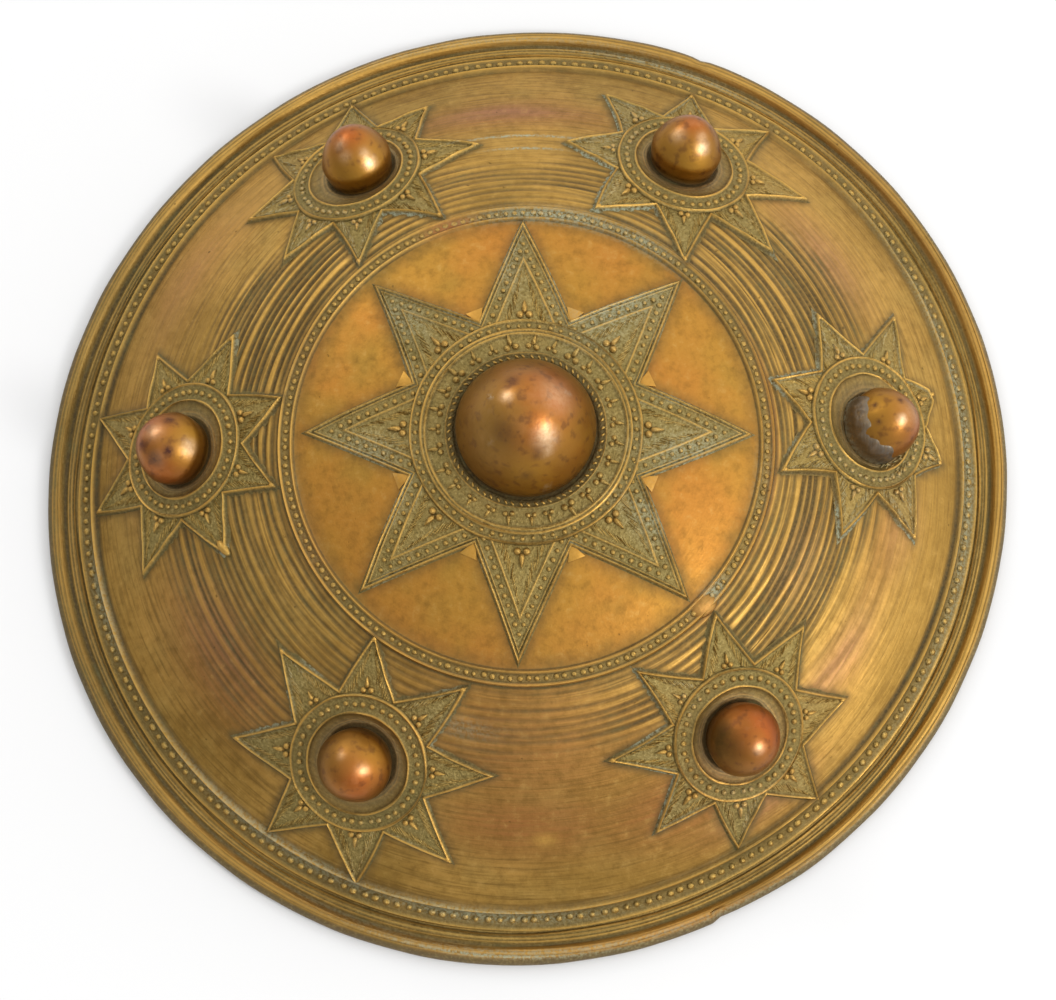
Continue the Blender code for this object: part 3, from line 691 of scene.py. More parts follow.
def plateBack(azimuth):  # the hollow back, left as it was cast, from the middle down to the foot
    steps, turn = plate["backSteps"], np.radians(azimuth)
    foot = math.acos(-domeCentre / backRadius)
    back = []
    for step in range(1, steps + 1):
        lean = foot * step / steps
        skin = plate["castSkin"] * np.abs(waves(azimuth, 500 + step, (2, 5, 9, 14, 23))) * float(step < steps)
        reach = (backRadius - skin) * math.sin(lean)
        height = np.maximum(domeCentre + (backRadius - skin) * math.cos(lean), 0)
        back.append(np.stack([reach * np.cos(turn), reach * np.sin(turn), height], -1))
    return np.array(back)


def plateDirtAndShade(table, radius, turn, groove, worn):
    wear = plateWear
    dirt = (table[:, 3:4] + wear["grooveDirt"] * groove) * np.where(radius > 135, wear["faceDirt"], 1)
    towards, length, strength = wear["rimDirt"]
    patches = wear["rimPatches"] * ease(waves(turn, 81, (1, 2, 4, 7)))
    dirt = dirt + (patches + strength * hump(apart(turn, towards), length)) * (radius > 130)
    # painted shadow in the step inside the bead band, darkest at the listed azimuths
    step = ease((125 - radius) / 0.2) * ease((radius - 123.6) / 0.3)
    stepShadow = sum(hump(apart(turn, towards), length) for towards, length in wear["stepPaintedShade"])
    return (dirt * (1 - 0.45 * step) + 0.5 * step * stepShadow) * (1 - 0.8 * worn)


def platePiece():
    wear = plateWear
    azimuth = np.arange(plate["segments"]) * 360 / plate["segments"]
    table = plateRows()
    radius = table[:, :1] + 0 * azimuth
    turn = azimuth + 0 * radius
    onDome = table[:, 5:] > 0
    threads, threadShare = [np.where(onDome, values, 0) for values in threadRelief(radius, turn)]
    swell = np.where(onDome, swellRelief(radius, turn), 0)
    back = plateBack(azimuth)
    grid = np.concatenate([back, plateFront(table, radius, turn, threads + swell)])
    middles = [[0, 0, domeCentre + backRadius], [0, 0, domeCentre + domeRadius]]
    points = ovalled(np.concatenate([grid.reshape(-1, 3), middles]))

    def spread(onBack, front, atMiddles):  # one mark for the whole plate
        return np.append(np.concatenate([np.full(back.shape[:2], onBack), front]).ravel(), atMiddles)

    towards, length = beadRows["ringBeads"]["worn"]
    worn = hump(apart(turn, towards), length) * (radius > form["middle"]) * (radius < 70)
    groove = np.clip(-threads / wear["fullGroove"], 0, 1)
    dirt = plateDirtAndShade(table, radius, turn, groove, worn)
    polish = table[:, 4:5] * (0.75 + 0.35 * waves(turn, 41, (3, 5, 8, 13))) * (1 - 0.6 * worn)
    towards, length = wear["faceDullest"]
    onFace = (radius > 135) & (radius < 138.5)
    polish = polish + wear["facePolish"] * onFace * (1 - hump(apart(turn, towards), length))
    crests = wear["threadPolish"] * np.clip(1 - groove * 3, 0, 1) * threadShare * ease(threadShare * 3 - 1)
    crests = crests * ((radius < 114) & (radius > 70))
    onBands = (radius > 124.8) | ((radius > 64.5) & (radius < 69.2))
    crust = (wear["bandCrust"] - polish) * onBands * (1 - worn)

    # dirt and painted shade darken the plate round the foot of the stars and along the ring
    reach = polar(points)[0]
    inMiddle = reach < form["middle"]
    toStar, feet = starDistance(points), []
    for key, away in (("starFoot", toStar), ("middleStarFoot", toStar), ("ringFoot", form["middle"] - reach)):
        width, strength = wear[key]
        feet.append(strength * hump(away, width))
    shade = np.where(inMiddle, np.maximum(feet[1], feet[2]), feet[0]) * spread(0, 1 + 0 * dirt, (0, 1))
    marks = zoneMarks(points, True)
    marks["grimeAndShade"] = np.maximum(spread(wear["backDirt"], dirt, (wear["backDirt"], 0)), shade)
    marks["pale"] *= ~inMiddle
    marks["polish"] = np.maximum(marks["polish"], spread(0, np.maximum(polish, crests), (0, 0)))
    marks["crust"] = spread(wear["backCrust"], crust, (wear["backCrust"], 0))
    piece = addPiece("shieldPlate", (points, closedRings(len(grid), len(azimuth)), marks), sharp=55)
    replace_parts(piece, "shield_plate")


platePiece()
print("plate ready")


# Raised work: beads, strokes and lobes set on the dome

def knobForm(sides, lifts, taper=0.0):
    points, faces = [], []
    for lift in lifts:
        wide, high = math.cos(math.radians(max(lift, 0))), math.sin(math.radians(lift))
        for step in range(sides):
            angle = math.tau * step / sides
            x = wide * math.cos(angle)
            points.append((x, wide * math.sin(angle) * (1 - taper * (x + 1) / 2), high))
    points.append((-0.2 * taper, 0, 1))
    faces.append(tuple(range(sides))[::-1])
    faces += ringFaces(len(lifts), sides)
    last = len(points) - 1
    faces += [(last - sides + i, last - sides + (i + 1) % sides, last) for i in range(sides)]
    return np.array(points), faces


beadForm = knobForm(10, (-35, 12, 50))
strokeForm = knobForm(6, (-35, 30))
lobeForm = knobForm(10, (-35, 12, 50), 0.85)
lumpForm = knobForm(28, (-30, 0, 14, 28, 42, 56, 70, 80))


def scatter(seat, shape, x, y, above, turn, length, width, height, polish=0.7):
    template, templateFaces = shape
    x, y, above, turn, length, width, height = [
        np.ravel(v) for v in np.broadcast_arrays(x, y, above, turn, length, width, height)]
    turn = np.radians(turn)
    small = 0.05
    origin = drape(seat, x, y, above)
    along = drape(seat, x + small * np.cos(turn), y + small * np.sin(turn), above) - origin
    along /= np.linalg.norm(along, axis=1, keepdims=True)
    up = origin - np.array([0, 0, domeCentre])
    up /= np.linalg.norm(up, axis=1, keepdims=True)
    side = np.cross(up, along)
    points = (origin[:, None] + along[:, None] * (template[None, :, :1] * length[:, None, None])
              + side[:, None] * (template[None, :, 1:2] * width[:, None, None])
              + up[:, None] * (template[None, :, 2:] * height[:, None, None]))
    count = len(template)
    faces = []
    for number in range(len(x)):
        faces.extend([tuple(i + number * count for i in face) for face in templateFaces])
    points = points.reshape(-1, 3)
    marks = zoneMarks(points)
    level = np.tile(template[:, 2], len(x))
    marks["grimeAndShade"] = np.clip(0.6 - 1.3 * level, 0, 0.7)
    marks["polish"] = np.clip(level * 1.5, 0, 1) * polish * 0.9
    marks["crust"] = 1 - 0.6 * marks["polish"]
    marks["pale"] *= 1 - 0.8 * marks["polish"]
    return points, faces, marks


def beadRow(name, spec):
    draw = np.random.default_rng(spec["seed"])
    count = spec["count"]
    azimuth = (np.arange(count) + draw.uniform(-0.12, 0.12, count)) * 360 / count
    reach = arcOf(spec["radius"]) + draw.normal(0, 0.12, count)
    size = spec["bead"] * draw.uniform(0.85, 1.1, count)
    towards, length = spec.get("worn", (0, 0.001))
    height = spec["height"] * draw.uniform(0.8, 1.1, count)
    height = height * (1 - 0.75 * hump(apart(azimuth, towards), length))
    turn = np.radians(azimuth)
    addPiece(name, scatter(domeTop, beadForm, reach * np.cos(turn), reach * np.sin(turn), spec["above"],
                           azimuth, size, size * draw.uniform(0.85, 1.15, count), height, 0.5))


for rowName, rowSpec in beadRows.items():
    beadRow(rowName, rowSpec)
print("bead rows ready")


def crossing(first, firstWay, second, secondWay):  # where two lines meet in the plane
    matrix = np.array([firstWay, -np.asarray(secondWay)]).T
    share = np.linalg.solve(matrix, np.asarray(second) - first)[0]
    return first + np.asarray(firstWay) * share


def blunted(flat, inset, apex, bisector, cut):  # moves what lies beyond the cut back to it
    along = (flat - apex) @ bisector
    return flat + bisector * np.maximum(0, cut + inset - along)[..., None]


def mitre(spec, apexes, valleys, k):  # how rows at equal inset meet at a tip's middle and in its two valleys
    apex, right, left = apexes[k], valleys[k - 1], valleys[k]
    bisector = unit(unit(right - apex) + unit(left - apex))
    halfAngle = math.acos(np.clip(unit(right - apex).dot(bisector), -1, 1))
    sides = []
    for valley, other in ((right, apexes[k - 1]), (left, apexes[(k + 1) % 8])):
        edge = unit(apex - valley)
        way = -unit(edge + unit(other - valley))
        sine = abs(edge[0] * way[1] - edge[1] * way[0])
        sides.append((valley, way, sine, valley + way * spec["corner"] / sine))
    first, second = sides[0][3], sides[1][3]
    middle = crossing(apex, bisector, first, second - first)
    length = np.linalg.norm(apex - middle)
    return {"apex": apex, "bisector": bisector, "halfAngle": halfAngle, "sides": sides, "middle": middle,
            "length": length, "deepest": length * math.sin(halfAngle)}


def insetEnds(spec, tip, side, inset):  # where the rows of one half of a tip start and end
    valley, way, sine, corner = tip["sides"][side]
    share = (inset - spec["corner"]) / (tip["deepest"] - spec["corner"])
    bases = np.where((inset <= spec["corner"])[:, None], valley + way * (inset / sine)[:, None],
                     corner + (tip["middle"] - corner) * share[:, None])
    return bases, tip["apex"] + tip["bisector"] * (inset / math.sin(tip["halfAngle"]))[:, None]


def halfTipFaces(inset, columns, corner):  # the top's rows, then two points a row for the underside
    offset = len(inset) * columns
    faces = []
    for j in range(len(inset) - 1):
        for i in range(columns - 1):
            a = j * columns + i
            faces.append((a, a + 1, a + columns + 1, a + columns))
        if j > 0:
            u = offset + 2 * j
            faces.append((u, u + 2, u + 3, u + 1))
        if inset[j] >= corner - 1e-6:
            faces.append((j * columns, (j + 1) * columns, offset + 2 * (j + 1), offset + 2 * j))
    half = columns // 2
    for i in range(columns - 1):
        faces.append((i + 1, i, offset + 2 if i < half else offset + 3))
    return faces + [(half, offset + 2, offset + 3)]


def patina(points, seed):  # patches of verdigris, more of them on some sides of the shield
    azimuth = polar(points)[1]
    lean = np.interp(azimuth % 360, starPatina[0], starPatina[1], period=360)
    return ease(waves(azimuth, seed, (3, 5, 8, 13, 19, 27)) + lean)


def starTips(star, seed):
    seat, spec, tipsAt = starSeats[star]
    apexes, valleys = starOutline(spec, tipsAt)
    draw = np.random.default_rng(seed)
    columns = spec["columns"]
    share = np.linspace(0, 1, columns)
    arch = np.sin(math.pi * share)
    parts, tips = [], []
    for k in range(8):
        tip = mitre(spec, apexes, valleys, k)
        apex, bisector, deepest = tip["apex"], tip["bisector"], tip["deepest"]
        table = [row for row in spec["rows"] if row[0] < deepest * 0.9]
        inner, floor, dirt = table[-1][:3]
        table += [(inner + (deepest - inner) * part, floor, dirt, 0) for part in np.linspace(0, 1, 5)[1:]]
        inset, above, dirt, polish = np.array(table, float).T
        sunk = np.maximum(inset, 0.6)  # the hidden underside keeps clear of the bowed edges
        cut = bluntTips.get((star, k), -9.0)
        for side, sign in ((0, 1), (1, -1)):
            bases, middles = insetEnds(spec, tip, side, inset)
            flat = bases[:, None] + (middles - bases)[:, None] * share[None, :, None]
            edge = unit(tip["sides"][side][0] - apex)
            outside = np.array([edge[1], -edge[0]]) * sign
            bow = spec["bow"] * draw.normal() * arch
            flat = flat + outside * (bow * (1 - np.clip(inset, 0, None) / deepest)[:, None])[..., None]
            flat = blunted(flat, inset[:, None], apex, bisector, cut)
            uneven = 1 + 0.10 * draw.normal() * np.sin(math.tau * share)
            uneven = np.clip(uneven + 0.08 * draw.normal() * np.sin(2 * math.tau * share), 0.8, 1.15)
            # only the wires rise and fall
            lifted = above[:, None] * np.where(above[:, None] > 0.6, uneven, 1)
            top = drape(seat, flat[..., 0], flat[..., 1], lifted)
            low = blunted(np.stack(insetEnds(spec, tip, side, sunk), 1), sunk[:, None], apex, bisector, cut)
            under = drape(seat, low[..., 0], low[..., 1], buried)
            faces = halfTipFaces(inset, columns, spec["corner"])
            if side == 1:
                faces = [face[::-1] for face in faces]
            worn = np.clip(1 - 0.35 * draw.random() + 0.15 * draw.normal() * arch, 0.4, 1)
            marks = {"polish": np.append((polish[:, None] * worn).ravel(), np.zeros(len(under))),
                     "grimeAndShade": np.append(np.repeat(dirt, columns), np.full(len(under), 0.5))}
            parts.append((np.concatenate([top, under]), faces, marks))
        tips.append(tip)
    points, faces, marks = weld(*joined(parts))
    zone = zoneMarks(points)
    zone["polish"] = np.maximum(zone["polish"], marks["polish"])
    zone["pale"] *= 1 - 0.7 * marks["polish"]
    zone["pale"] = np.maximum(zone["pale"], 1.2 * patina(points, 61) * np.clip(marks["grimeAndShade"] - 0.15, 0, 0.8))
    zone["crust"] = 1 - marks["polish"]
    zone["grimeAndShade"] = marks["grimeAndShade"]
    return (points, faces, zone), tips


def medallion(seat, profile, columns, shift, seed, dish):  # dish is the radius of its smoother middle
    angle = np.arange(columns) * 360 / columns
    rings, dirtRows, polishRows = [], [], []
    for number, (reach, above, dirt, polish) in enumerate(profile):
        wobble = 0.10 * waves(angle, seed + number // 3, (2, 3, 5, 8, 12))
        pull = float(ease((13.8 - reach) / 3.2))  # the inner rings follow the boss
        x = (reach + wobble) * np.cos(np.radians(angle)) + shift[0] * pull
        y = (reach + wobble) * np.sin(np.radians(angle)) + shift[1] * pull
        rings.append(drape(seat, x, y, above))
        dirtRows.append(np.full(columns, dirt))
        polishRows.append(polish * (0.8 + 0.3 * waves(angle, seed + 50 + number, (2, 3, 5))))
    rings += [drape(seat, shift[0], shift[1], buried), drape(seat, shift[0], shift[1], profile[-1][1])]
    points = np.concatenate(rings)
    reach = np.append(np.repeat([row[0] for row in profile], columns), [0, 0])
    marks = zoneMarks(points)
    marks["grimeAndShade"] = np.append(np.concatenate(dirtRows), [0.5, 0.9])
    marks["polish"] = np.append(np.concatenate(polishRows), [0, 0])
    marks["crust"] = np.clip(1 - marks["polish"] * 1.2, 0, 1) * np.where(reach < dish, 0.35, 1)
    marks["slate"] = 0.55 * hump(reach - 11.0, 1.6)
    return points, closedRings(len(profile), columns), marks


smallProfile = (  # reach, height above the dome, dirt and polish, inwards
    (9.0, buried, 0.5, 0), (19.3, buried, 0.5, 0), (20.1, -0.3, 0.8, 0), (19.85, 0.4, 0.6, 0),
    (19.6, 0.85, 0.4, 0), (19.4, 1.35, 0.1, 0.5), (19.15, 1.62, 0, 0.9), (18.9, 1.35, 0.1, 0.5),
    (18.65, 1.05, 0.45, 0), (18.2, 0.92, 0.3, 0), (16.7, 0.92, 0.35, 0), (15.1, 0.92, 0.4, 0),
    (14.75, 1.1, 0.5, 0), (14.5, 1.45, 0.1, 0.5), (14.25, 1.65, 0, 0.9), (14.0, 1.4, 0.15, 0.4),
    (13.7, 1.05, 0.55, 0), (12.9, 0.8, 0.25, 0), (12.1, 0.62, 0.3, 0), (11.6, 0.7, 0.1, 0.3),
    (11.2, 0.6, 0.35, 0), (10.9, 0.68, 0.15, 0.25), (10.5, 0.55, 0.5, 0), (10.1, 0.3, 0.95, 0),
    (9.7, 0.02, 1, 0),
)
centreProfile = (
    (18.0, buried, 0.5, 0), (31.6, buried, 0.5, 0), (32.4, -0.3, 0.5, 0), (32.2, 0.6, 0.5, 0),
    (32.0, 1.25, 0.2, 0.3), (31.75, 1.6, 0, 0.75), (31.45, 1.35, 0.15, 0.3), (31.2, 1.0, 0.5, 0),
    (30.8, 0.9, 0.35, 0), (30.2, 0.9, 0.35, 0), (29.6, 0.9, 0.4, 0), (29.3, 1.05, 0.45, 0),
    (29.05, 1.45, 0.1, 0.5), (28.8, 1.6, 0, 0.8), (28.5, 1.35, 0.2, 0.3), (28.25, 1.15, 0.5, 0),
    (28.0, 1.35, 0.15, 0.3), (27.75, 1.5, 0, 0.6), (27.45, 1.25, 0.2, 0.2), (27.15, 1.0, 0.5, 0),
    (26.5, 0.9, 0.25, 0), (24.7, 0.9, 0.25, 0), (22.6, 0.9, 0.35, 0), (22.3, 1.0, 0.5, 0),
    (22.0, 1.25, 0.15, 0.4), (21.7, 1.0, 0.5, 0), (21.4, 0.75, 0.75, 0), (20.9, 0.7, 0.7, 0),
    (20.4, 0.6, 0.8, 0), (20.0, 0.35, 0.95, 0), (19.6, 0.1, 1, 0), (18.4, 0.02, 1, 0),
)


def ringOf(count, reach, seed, wander=0.1):
    draw = np.random.default_rng(seed)
    angle = (np.arange(count) + draw.uniform(-0.12, 0.12, count)) * 360 / count
    away = reach + draw.normal(0, wander, count)
    return angle, away * np.cos(np.radians(angle)), away * np.sin(np.radians(angle)), draw


def trefoil(seat, base, turn, size, above, polish):  # two beads behind a drop that points along turn
    way = wayOf(turn)
    side = np.array([-way[1], way[0]])
    parts = []
    for sign in (-1, 1):
        x, y = base + side * sign * 0.95 * size
        parts.append(scatter(seat, beadForm, x, y, above, turn,
                             0.85 * size, 0.85 * size, 0.95 * size, polish))
    x, y = base + way * 1.9 * size
    parts.append(scatter(seat, lobeForm, x, y, above, turn, 1.7 * size, 0.95 * size, 0.95 * size, polish))
    for _, _, marks in parts:  # hands have rubbed these through to coppery metal
        marks["red"] = np.maximum(marks["red"], 0.55 * marks["polish"])
    return parts


def alongEdge(tip, sign, start, stop, pitch):  # steps down one edge of a tip, and its two directions
    bisector, half = tip["bisector"], tip["halfAngle"]
    edge = np.array([bisector[0] * math.cos(half) - sign * bisector[1] * math.sin(half),
                     sign * bisector[0] * math.sin(half) + bisector[1] * math.cos(half)])
    steps = np.arange(start, tip["length"] / math.cos(half) - stop, pitch)
    return steps, edge, unit(bisector - edge * math.cos(half))


def barbs(seat, tip, draw, spec):  # strokes that lean in from both edges of a tip, as on a feather
    turn = turnOf(-tip["bisector"])
    parts = []
    for sign in (-1, 1):
        along, edge, inward = alongEdge(tip, sign, spec["start"], spec["stop"], spec["pitch"])
        room = along * math.tan(tip["halfAngle"]) - spec["inset"]
        stroke = np.minimum(spec["longest"], room * 0.75) * draw.uniform(0.75, 1.1, len(along))
        keep = stroke > 0.35
        along, stroke = along[keep], stroke[keep]
        middle = tip["apex"] + edge * along[:, None] + inward * (spec["inset"] + stroke * 0.5)[:, None]
        heading = turn - sign * draw.uniform(*spec["lean"], len(along))
        parts.append(scatter(seat, strokeForm, middle[:, 0], middle[:, 1], 0.42, heading,
                             stroke * 0.7, 0.19, 0.3 * draw.uniform(0.6, 1.3, len(along)), 0.3))
    return parts


def crinkles(seat, draw, count=40):  # the ring and floor of the right star are crinkled below its boss
    reach, around = draw.uniform(12.2, 17.4, count), np.radians(draw.uniform(-80, -18, count))
    part = scatter(seat, strokeForm, reach * np.cos(around), reach * np.sin(around), 0.95,
                   np.degrees(around) + draw.uniform(40, 140, count), 1.1, 0.24, 0.4, 0.3)
    part[2]["pale"] = np.maximum(part[2]["pale"], 0.35)
    return part


def smallStarPieces(name, seat, shift, beads, seed):
    spec = smallStar
    tipsPart, tips = starTips(name, seed)
    addPiece(titleOf(name) + "StarTips", tipsPart, sharp=50)
    addPiece(titleOf(name) + "StarMedallion", medallion(seat, smallProfile, 120, shift, seed, 13.9))
    draw = np.random.default_rng(seed + 3)
    angle, x, y, own = ringOf(beads, spec["beadRing"], seed + 1)
    size = spec["bead"] * own.uniform(0.85, 1.1, beads)
    relief = [scatter(seat, beadForm, x, y, 0.85, angle, size, size, size * 0.95, 0.5)]
    for tip in tips:
        turn = turnOf(-tip["bisector"])
        before, size = spec["trefoil"]
        spot = tip["apex"] + tip["bisector"] * (tip["length"] - before)
        relief += trefoil(seat, spot, turn + draw.uniform(-8, 8), size * draw.uniform(0.85, 1.1), 0.45, 0.7)
        relief += barbs(seat, tip, draw, spec["barbs"])
        if draw.random() < spec["blobShare"]:
            spot = tip["apex"] + tip["bisector"] * 1.5
            relief.append(scatter(seat, beadForm, *spot, 0.5, turn, 0.95, 0.75, 0.85, 1.0))
    if name == "right":
        relief.append(crinkles(seat, draw))
    if name == "left":  # one tip ends in a thumbed lobe
        spot, turn = tips[2]["apex"] + tips[2]["bisector"] * 2.6, turnOf(-tips[2]["bisector"]) + 12
        relief.append(scatter(seat, lumpForm, *spot, 0.0, turn, 3.0, 1.35, 1.5, 0.9))
    points, faces, marks = joined(relief)
    marks["pale"] = np.maximum(marks["pale"], 0.45 * patina(points, 63) * (1 - marks["polish"]))
    addPiece(titleOf(name) + "StarRelief", (points, faces, marks))


for number, (name, (azimuth, slip, shift, beads, tips)) in enumerate(smallStars.items()):
    smallStarPieces(name, starSeats[name][0], shift, beads, 1000 + 20 * number)
print("small stars ready")


def wedgeForm():  # a three-sided block with bevelled edges, its point along x
    points = []
    for size, high in ((1.0, -0.4), (1.0, 0.7), (0.75, 1.0)):
        points += [(*(size * wayOf(turn) * (1.1, 1)), high) for turn in (0, 120, 240)]
    return np.array(points), [(2, 1, 0), (6, 7, 8)] + ringFaces(3, 3)


def edgeBeads(seat, tip, draw, turn):  # the beads between the two wires of a centre tip
    spec = centreStar["edgeBeads"]
    parts = []
    for sign in (-1, 1):
        along, edge, inward = alongEdge(tip, sign, spec["start"], spec["stop"], spec["pitch"])
        spots = tip["apex"] + edge * along[:, None] + inward * spec["inset"]
        size = spec["size"] * draw.uniform(0.85, 1.1, len(along))
        parts.append(scatter(seat, beadForm, spots[:, 0], spots[:, 1], 0.4, turn,
                             size, size, size * 0.95, 0.45))
    return parts


def centreStarPieces():
    seat, spec, tipsAt = starSeats["centre"]
    tipsPart, tips = starTips("centre", 2050)
    addPiece("centreStarTips", tipsPart, sharp=50)
    addPiece("centreStarMedallion", medallion(seat, centreProfile, 224, (0, 0), 2000, 20.0))
    draw = np.random.default_rng(2100)
    count, reach, size = spec["beads"]
    angle, x, y, own = ringOf(count, reach, 2101)
    size = size * own.uniform(0.8, 1.1, count)
    relief = [scatter(seat, beadForm, x, y, 0.85, angle, size, size, size * 0.9, 0.4)]
    angle, x, y, own = ringOf(*spec["rope"], 2102, 0.05)  # a twisted rope round the boss
    relief.append(scatter(seat, beadForm, x, y, 0.55, angle + 40, 0.8, 0.4, 0.62, 0.6))
    count, reach, size = spec["trefoils"]
    for k in range(count):
        turn = 360 * (k + draw.uniform(-0.08, 0.08)) / count
        relief += trefoil(seat, reach * wayOf(turn), turn + draw.uniform(-15, 15),
                          size * draw.uniform(0.75, 1.15), 0.7, 0.35)
    for k, tip in enumerate(tips):
        turn = turnOf(-tip["bisector"])
        before, size = spec["tipTrefoil"]
        spot = tip["apex"] + tip["bisector"] * (tip["length"] - before)
        relief += trefoil(seat, spot, turn, size, 0.4, 0.65)
        relief += edgeBeads(seat, tip, draw, turn)
        spot = tip["apex"] + tip["bisector"] * 8.2
        relief.append(scatter(seat, beadForm, *spot, 0.4, turn, 0.7, 0.7, 0.65, 0.5))
        relief += barbs(seat, tip, draw, spec["barbs"])
        # a small plain triangle fills each valley
        valley = 45 * (k + 1) + (tipsAt[k][1] + tipsAt[(k + 1) % 8][1]) / 2
        reach, size, high = spec["filler"]
        filler = scatter(seat, wedgeForm(), *(reach * wayOf(valley)), -0.1, valley + 180,
                         size, size, high, 0.5)
        filler[2].update(crust=0.0, gold=1.0)
        relief.append(filler)
    for _, _, marks in relief:
        marks.setdefault("gold", 0.0)
    addPiece("centreStarRelief", joined(relief))


centreStarPieces()
print("centre star ready")


# Casting accidents: spilled wax on the ring, and a crust at the foot of the right boss
collar = {
    "from": 116.0, "to": 296.0,  # degrees round the boss, from its left side round below
    "steps": 72,
    "inner": 9.2,
    "section": (  # reach and height, from the inner foot over the outside
        (9.2, -0.2), (10.3, -0.2), (10.65, 0.5), (10.6, 1.6),
        (10.7, 3.0), (10.7, 4.5), (10.7, 6.0), (10.4, 7.1), (10.0, 8.1), (9.5, 9.1), (8.85, 9.8), (8.0, 10.0),
    ),
    # the pale lines along the crust's lower lip stand in for its highlights: painted highlight
    "pale": (0, 0.2, 0.5, 0.3, 0.1, 0, 0, 0, 0, 0, 0.1, 0),
    "crinkle": 0.17,
}


def spilledWax():
    seat = seatAt(314.0, float(arcOf(67.0)))
    points, faces, marks = scatter(seat, lumpForm, 0.2, 0.4, -0.1, 80, 4.3, 3.0, 1.5, 1.0)
    for key, share in (("grimeAndShade", 0.2), ("polish", 0.15), ("crust", 0.3), ("pale", 0.0)):
        marks[key] *= share
    marks["red"] = np.full(len(points), 0.6)
    addPiece("spilledWaxLump", (points, faces, marks))


def crustedCollar():
    spec = collar
    azimuth, slip, shift = smallStars["right"][:3]
    seat = seatAt(azimuth, starZone + slip, shift)
    draw = np.random.default_rng(77)
    steps, inner = spec["steps"], spec["inner"]
    angle = np.linspace(spec["from"], spec["to"], steps)
    full = np.sqrt(np.clip(ease((angle - spec["from"]) / 26) * ease((spec["to"] - angle) / 34), 0.02, 1))
    rise = full * (0.92 + 0.07 * waves(angle, 78, (3, 7, 12)) + 0.1 * hump(angle - 250, 22))
    heading = headings(seat, np.radians(angle))
    rings = []
    for wide, high in spec["section"]:
        crinkle = spec["crinkle"] * draw.normal(size=steps) * float(high > 0 and wide > 8.9)
        crinkle = np.convolve(crinkle, (0.3, 0.6, 0.3), "same")
        around = inner + (wide - inner + crinkle) * (0.35 + 0.65 * full)
        lifted = np.where(high > 0, high * rise, high)
        rings.append(seat["foot"] + heading * around[:, None] + seat["normal"] * lifted[:, None])
    points = np.stack(rings, 1).reshape(-1, 3)
    count = len(rings)
    faces = [face[::-1] for face in ringFaces(steps, count)]
    faces += [tuple(range(count)), tuple(range((steps - 1) * count, steps * count))[::-1]]
    marks = zoneMarks(points)
    marks["slate"] = np.full(len(points), 0.95)
    marks["pale"] = np.tile(spec["pale"], steps)
    addPiece("crustedCollar", (points, faces, marks))


spilledWax()
crustedCollar()
print("casting accidents ready")


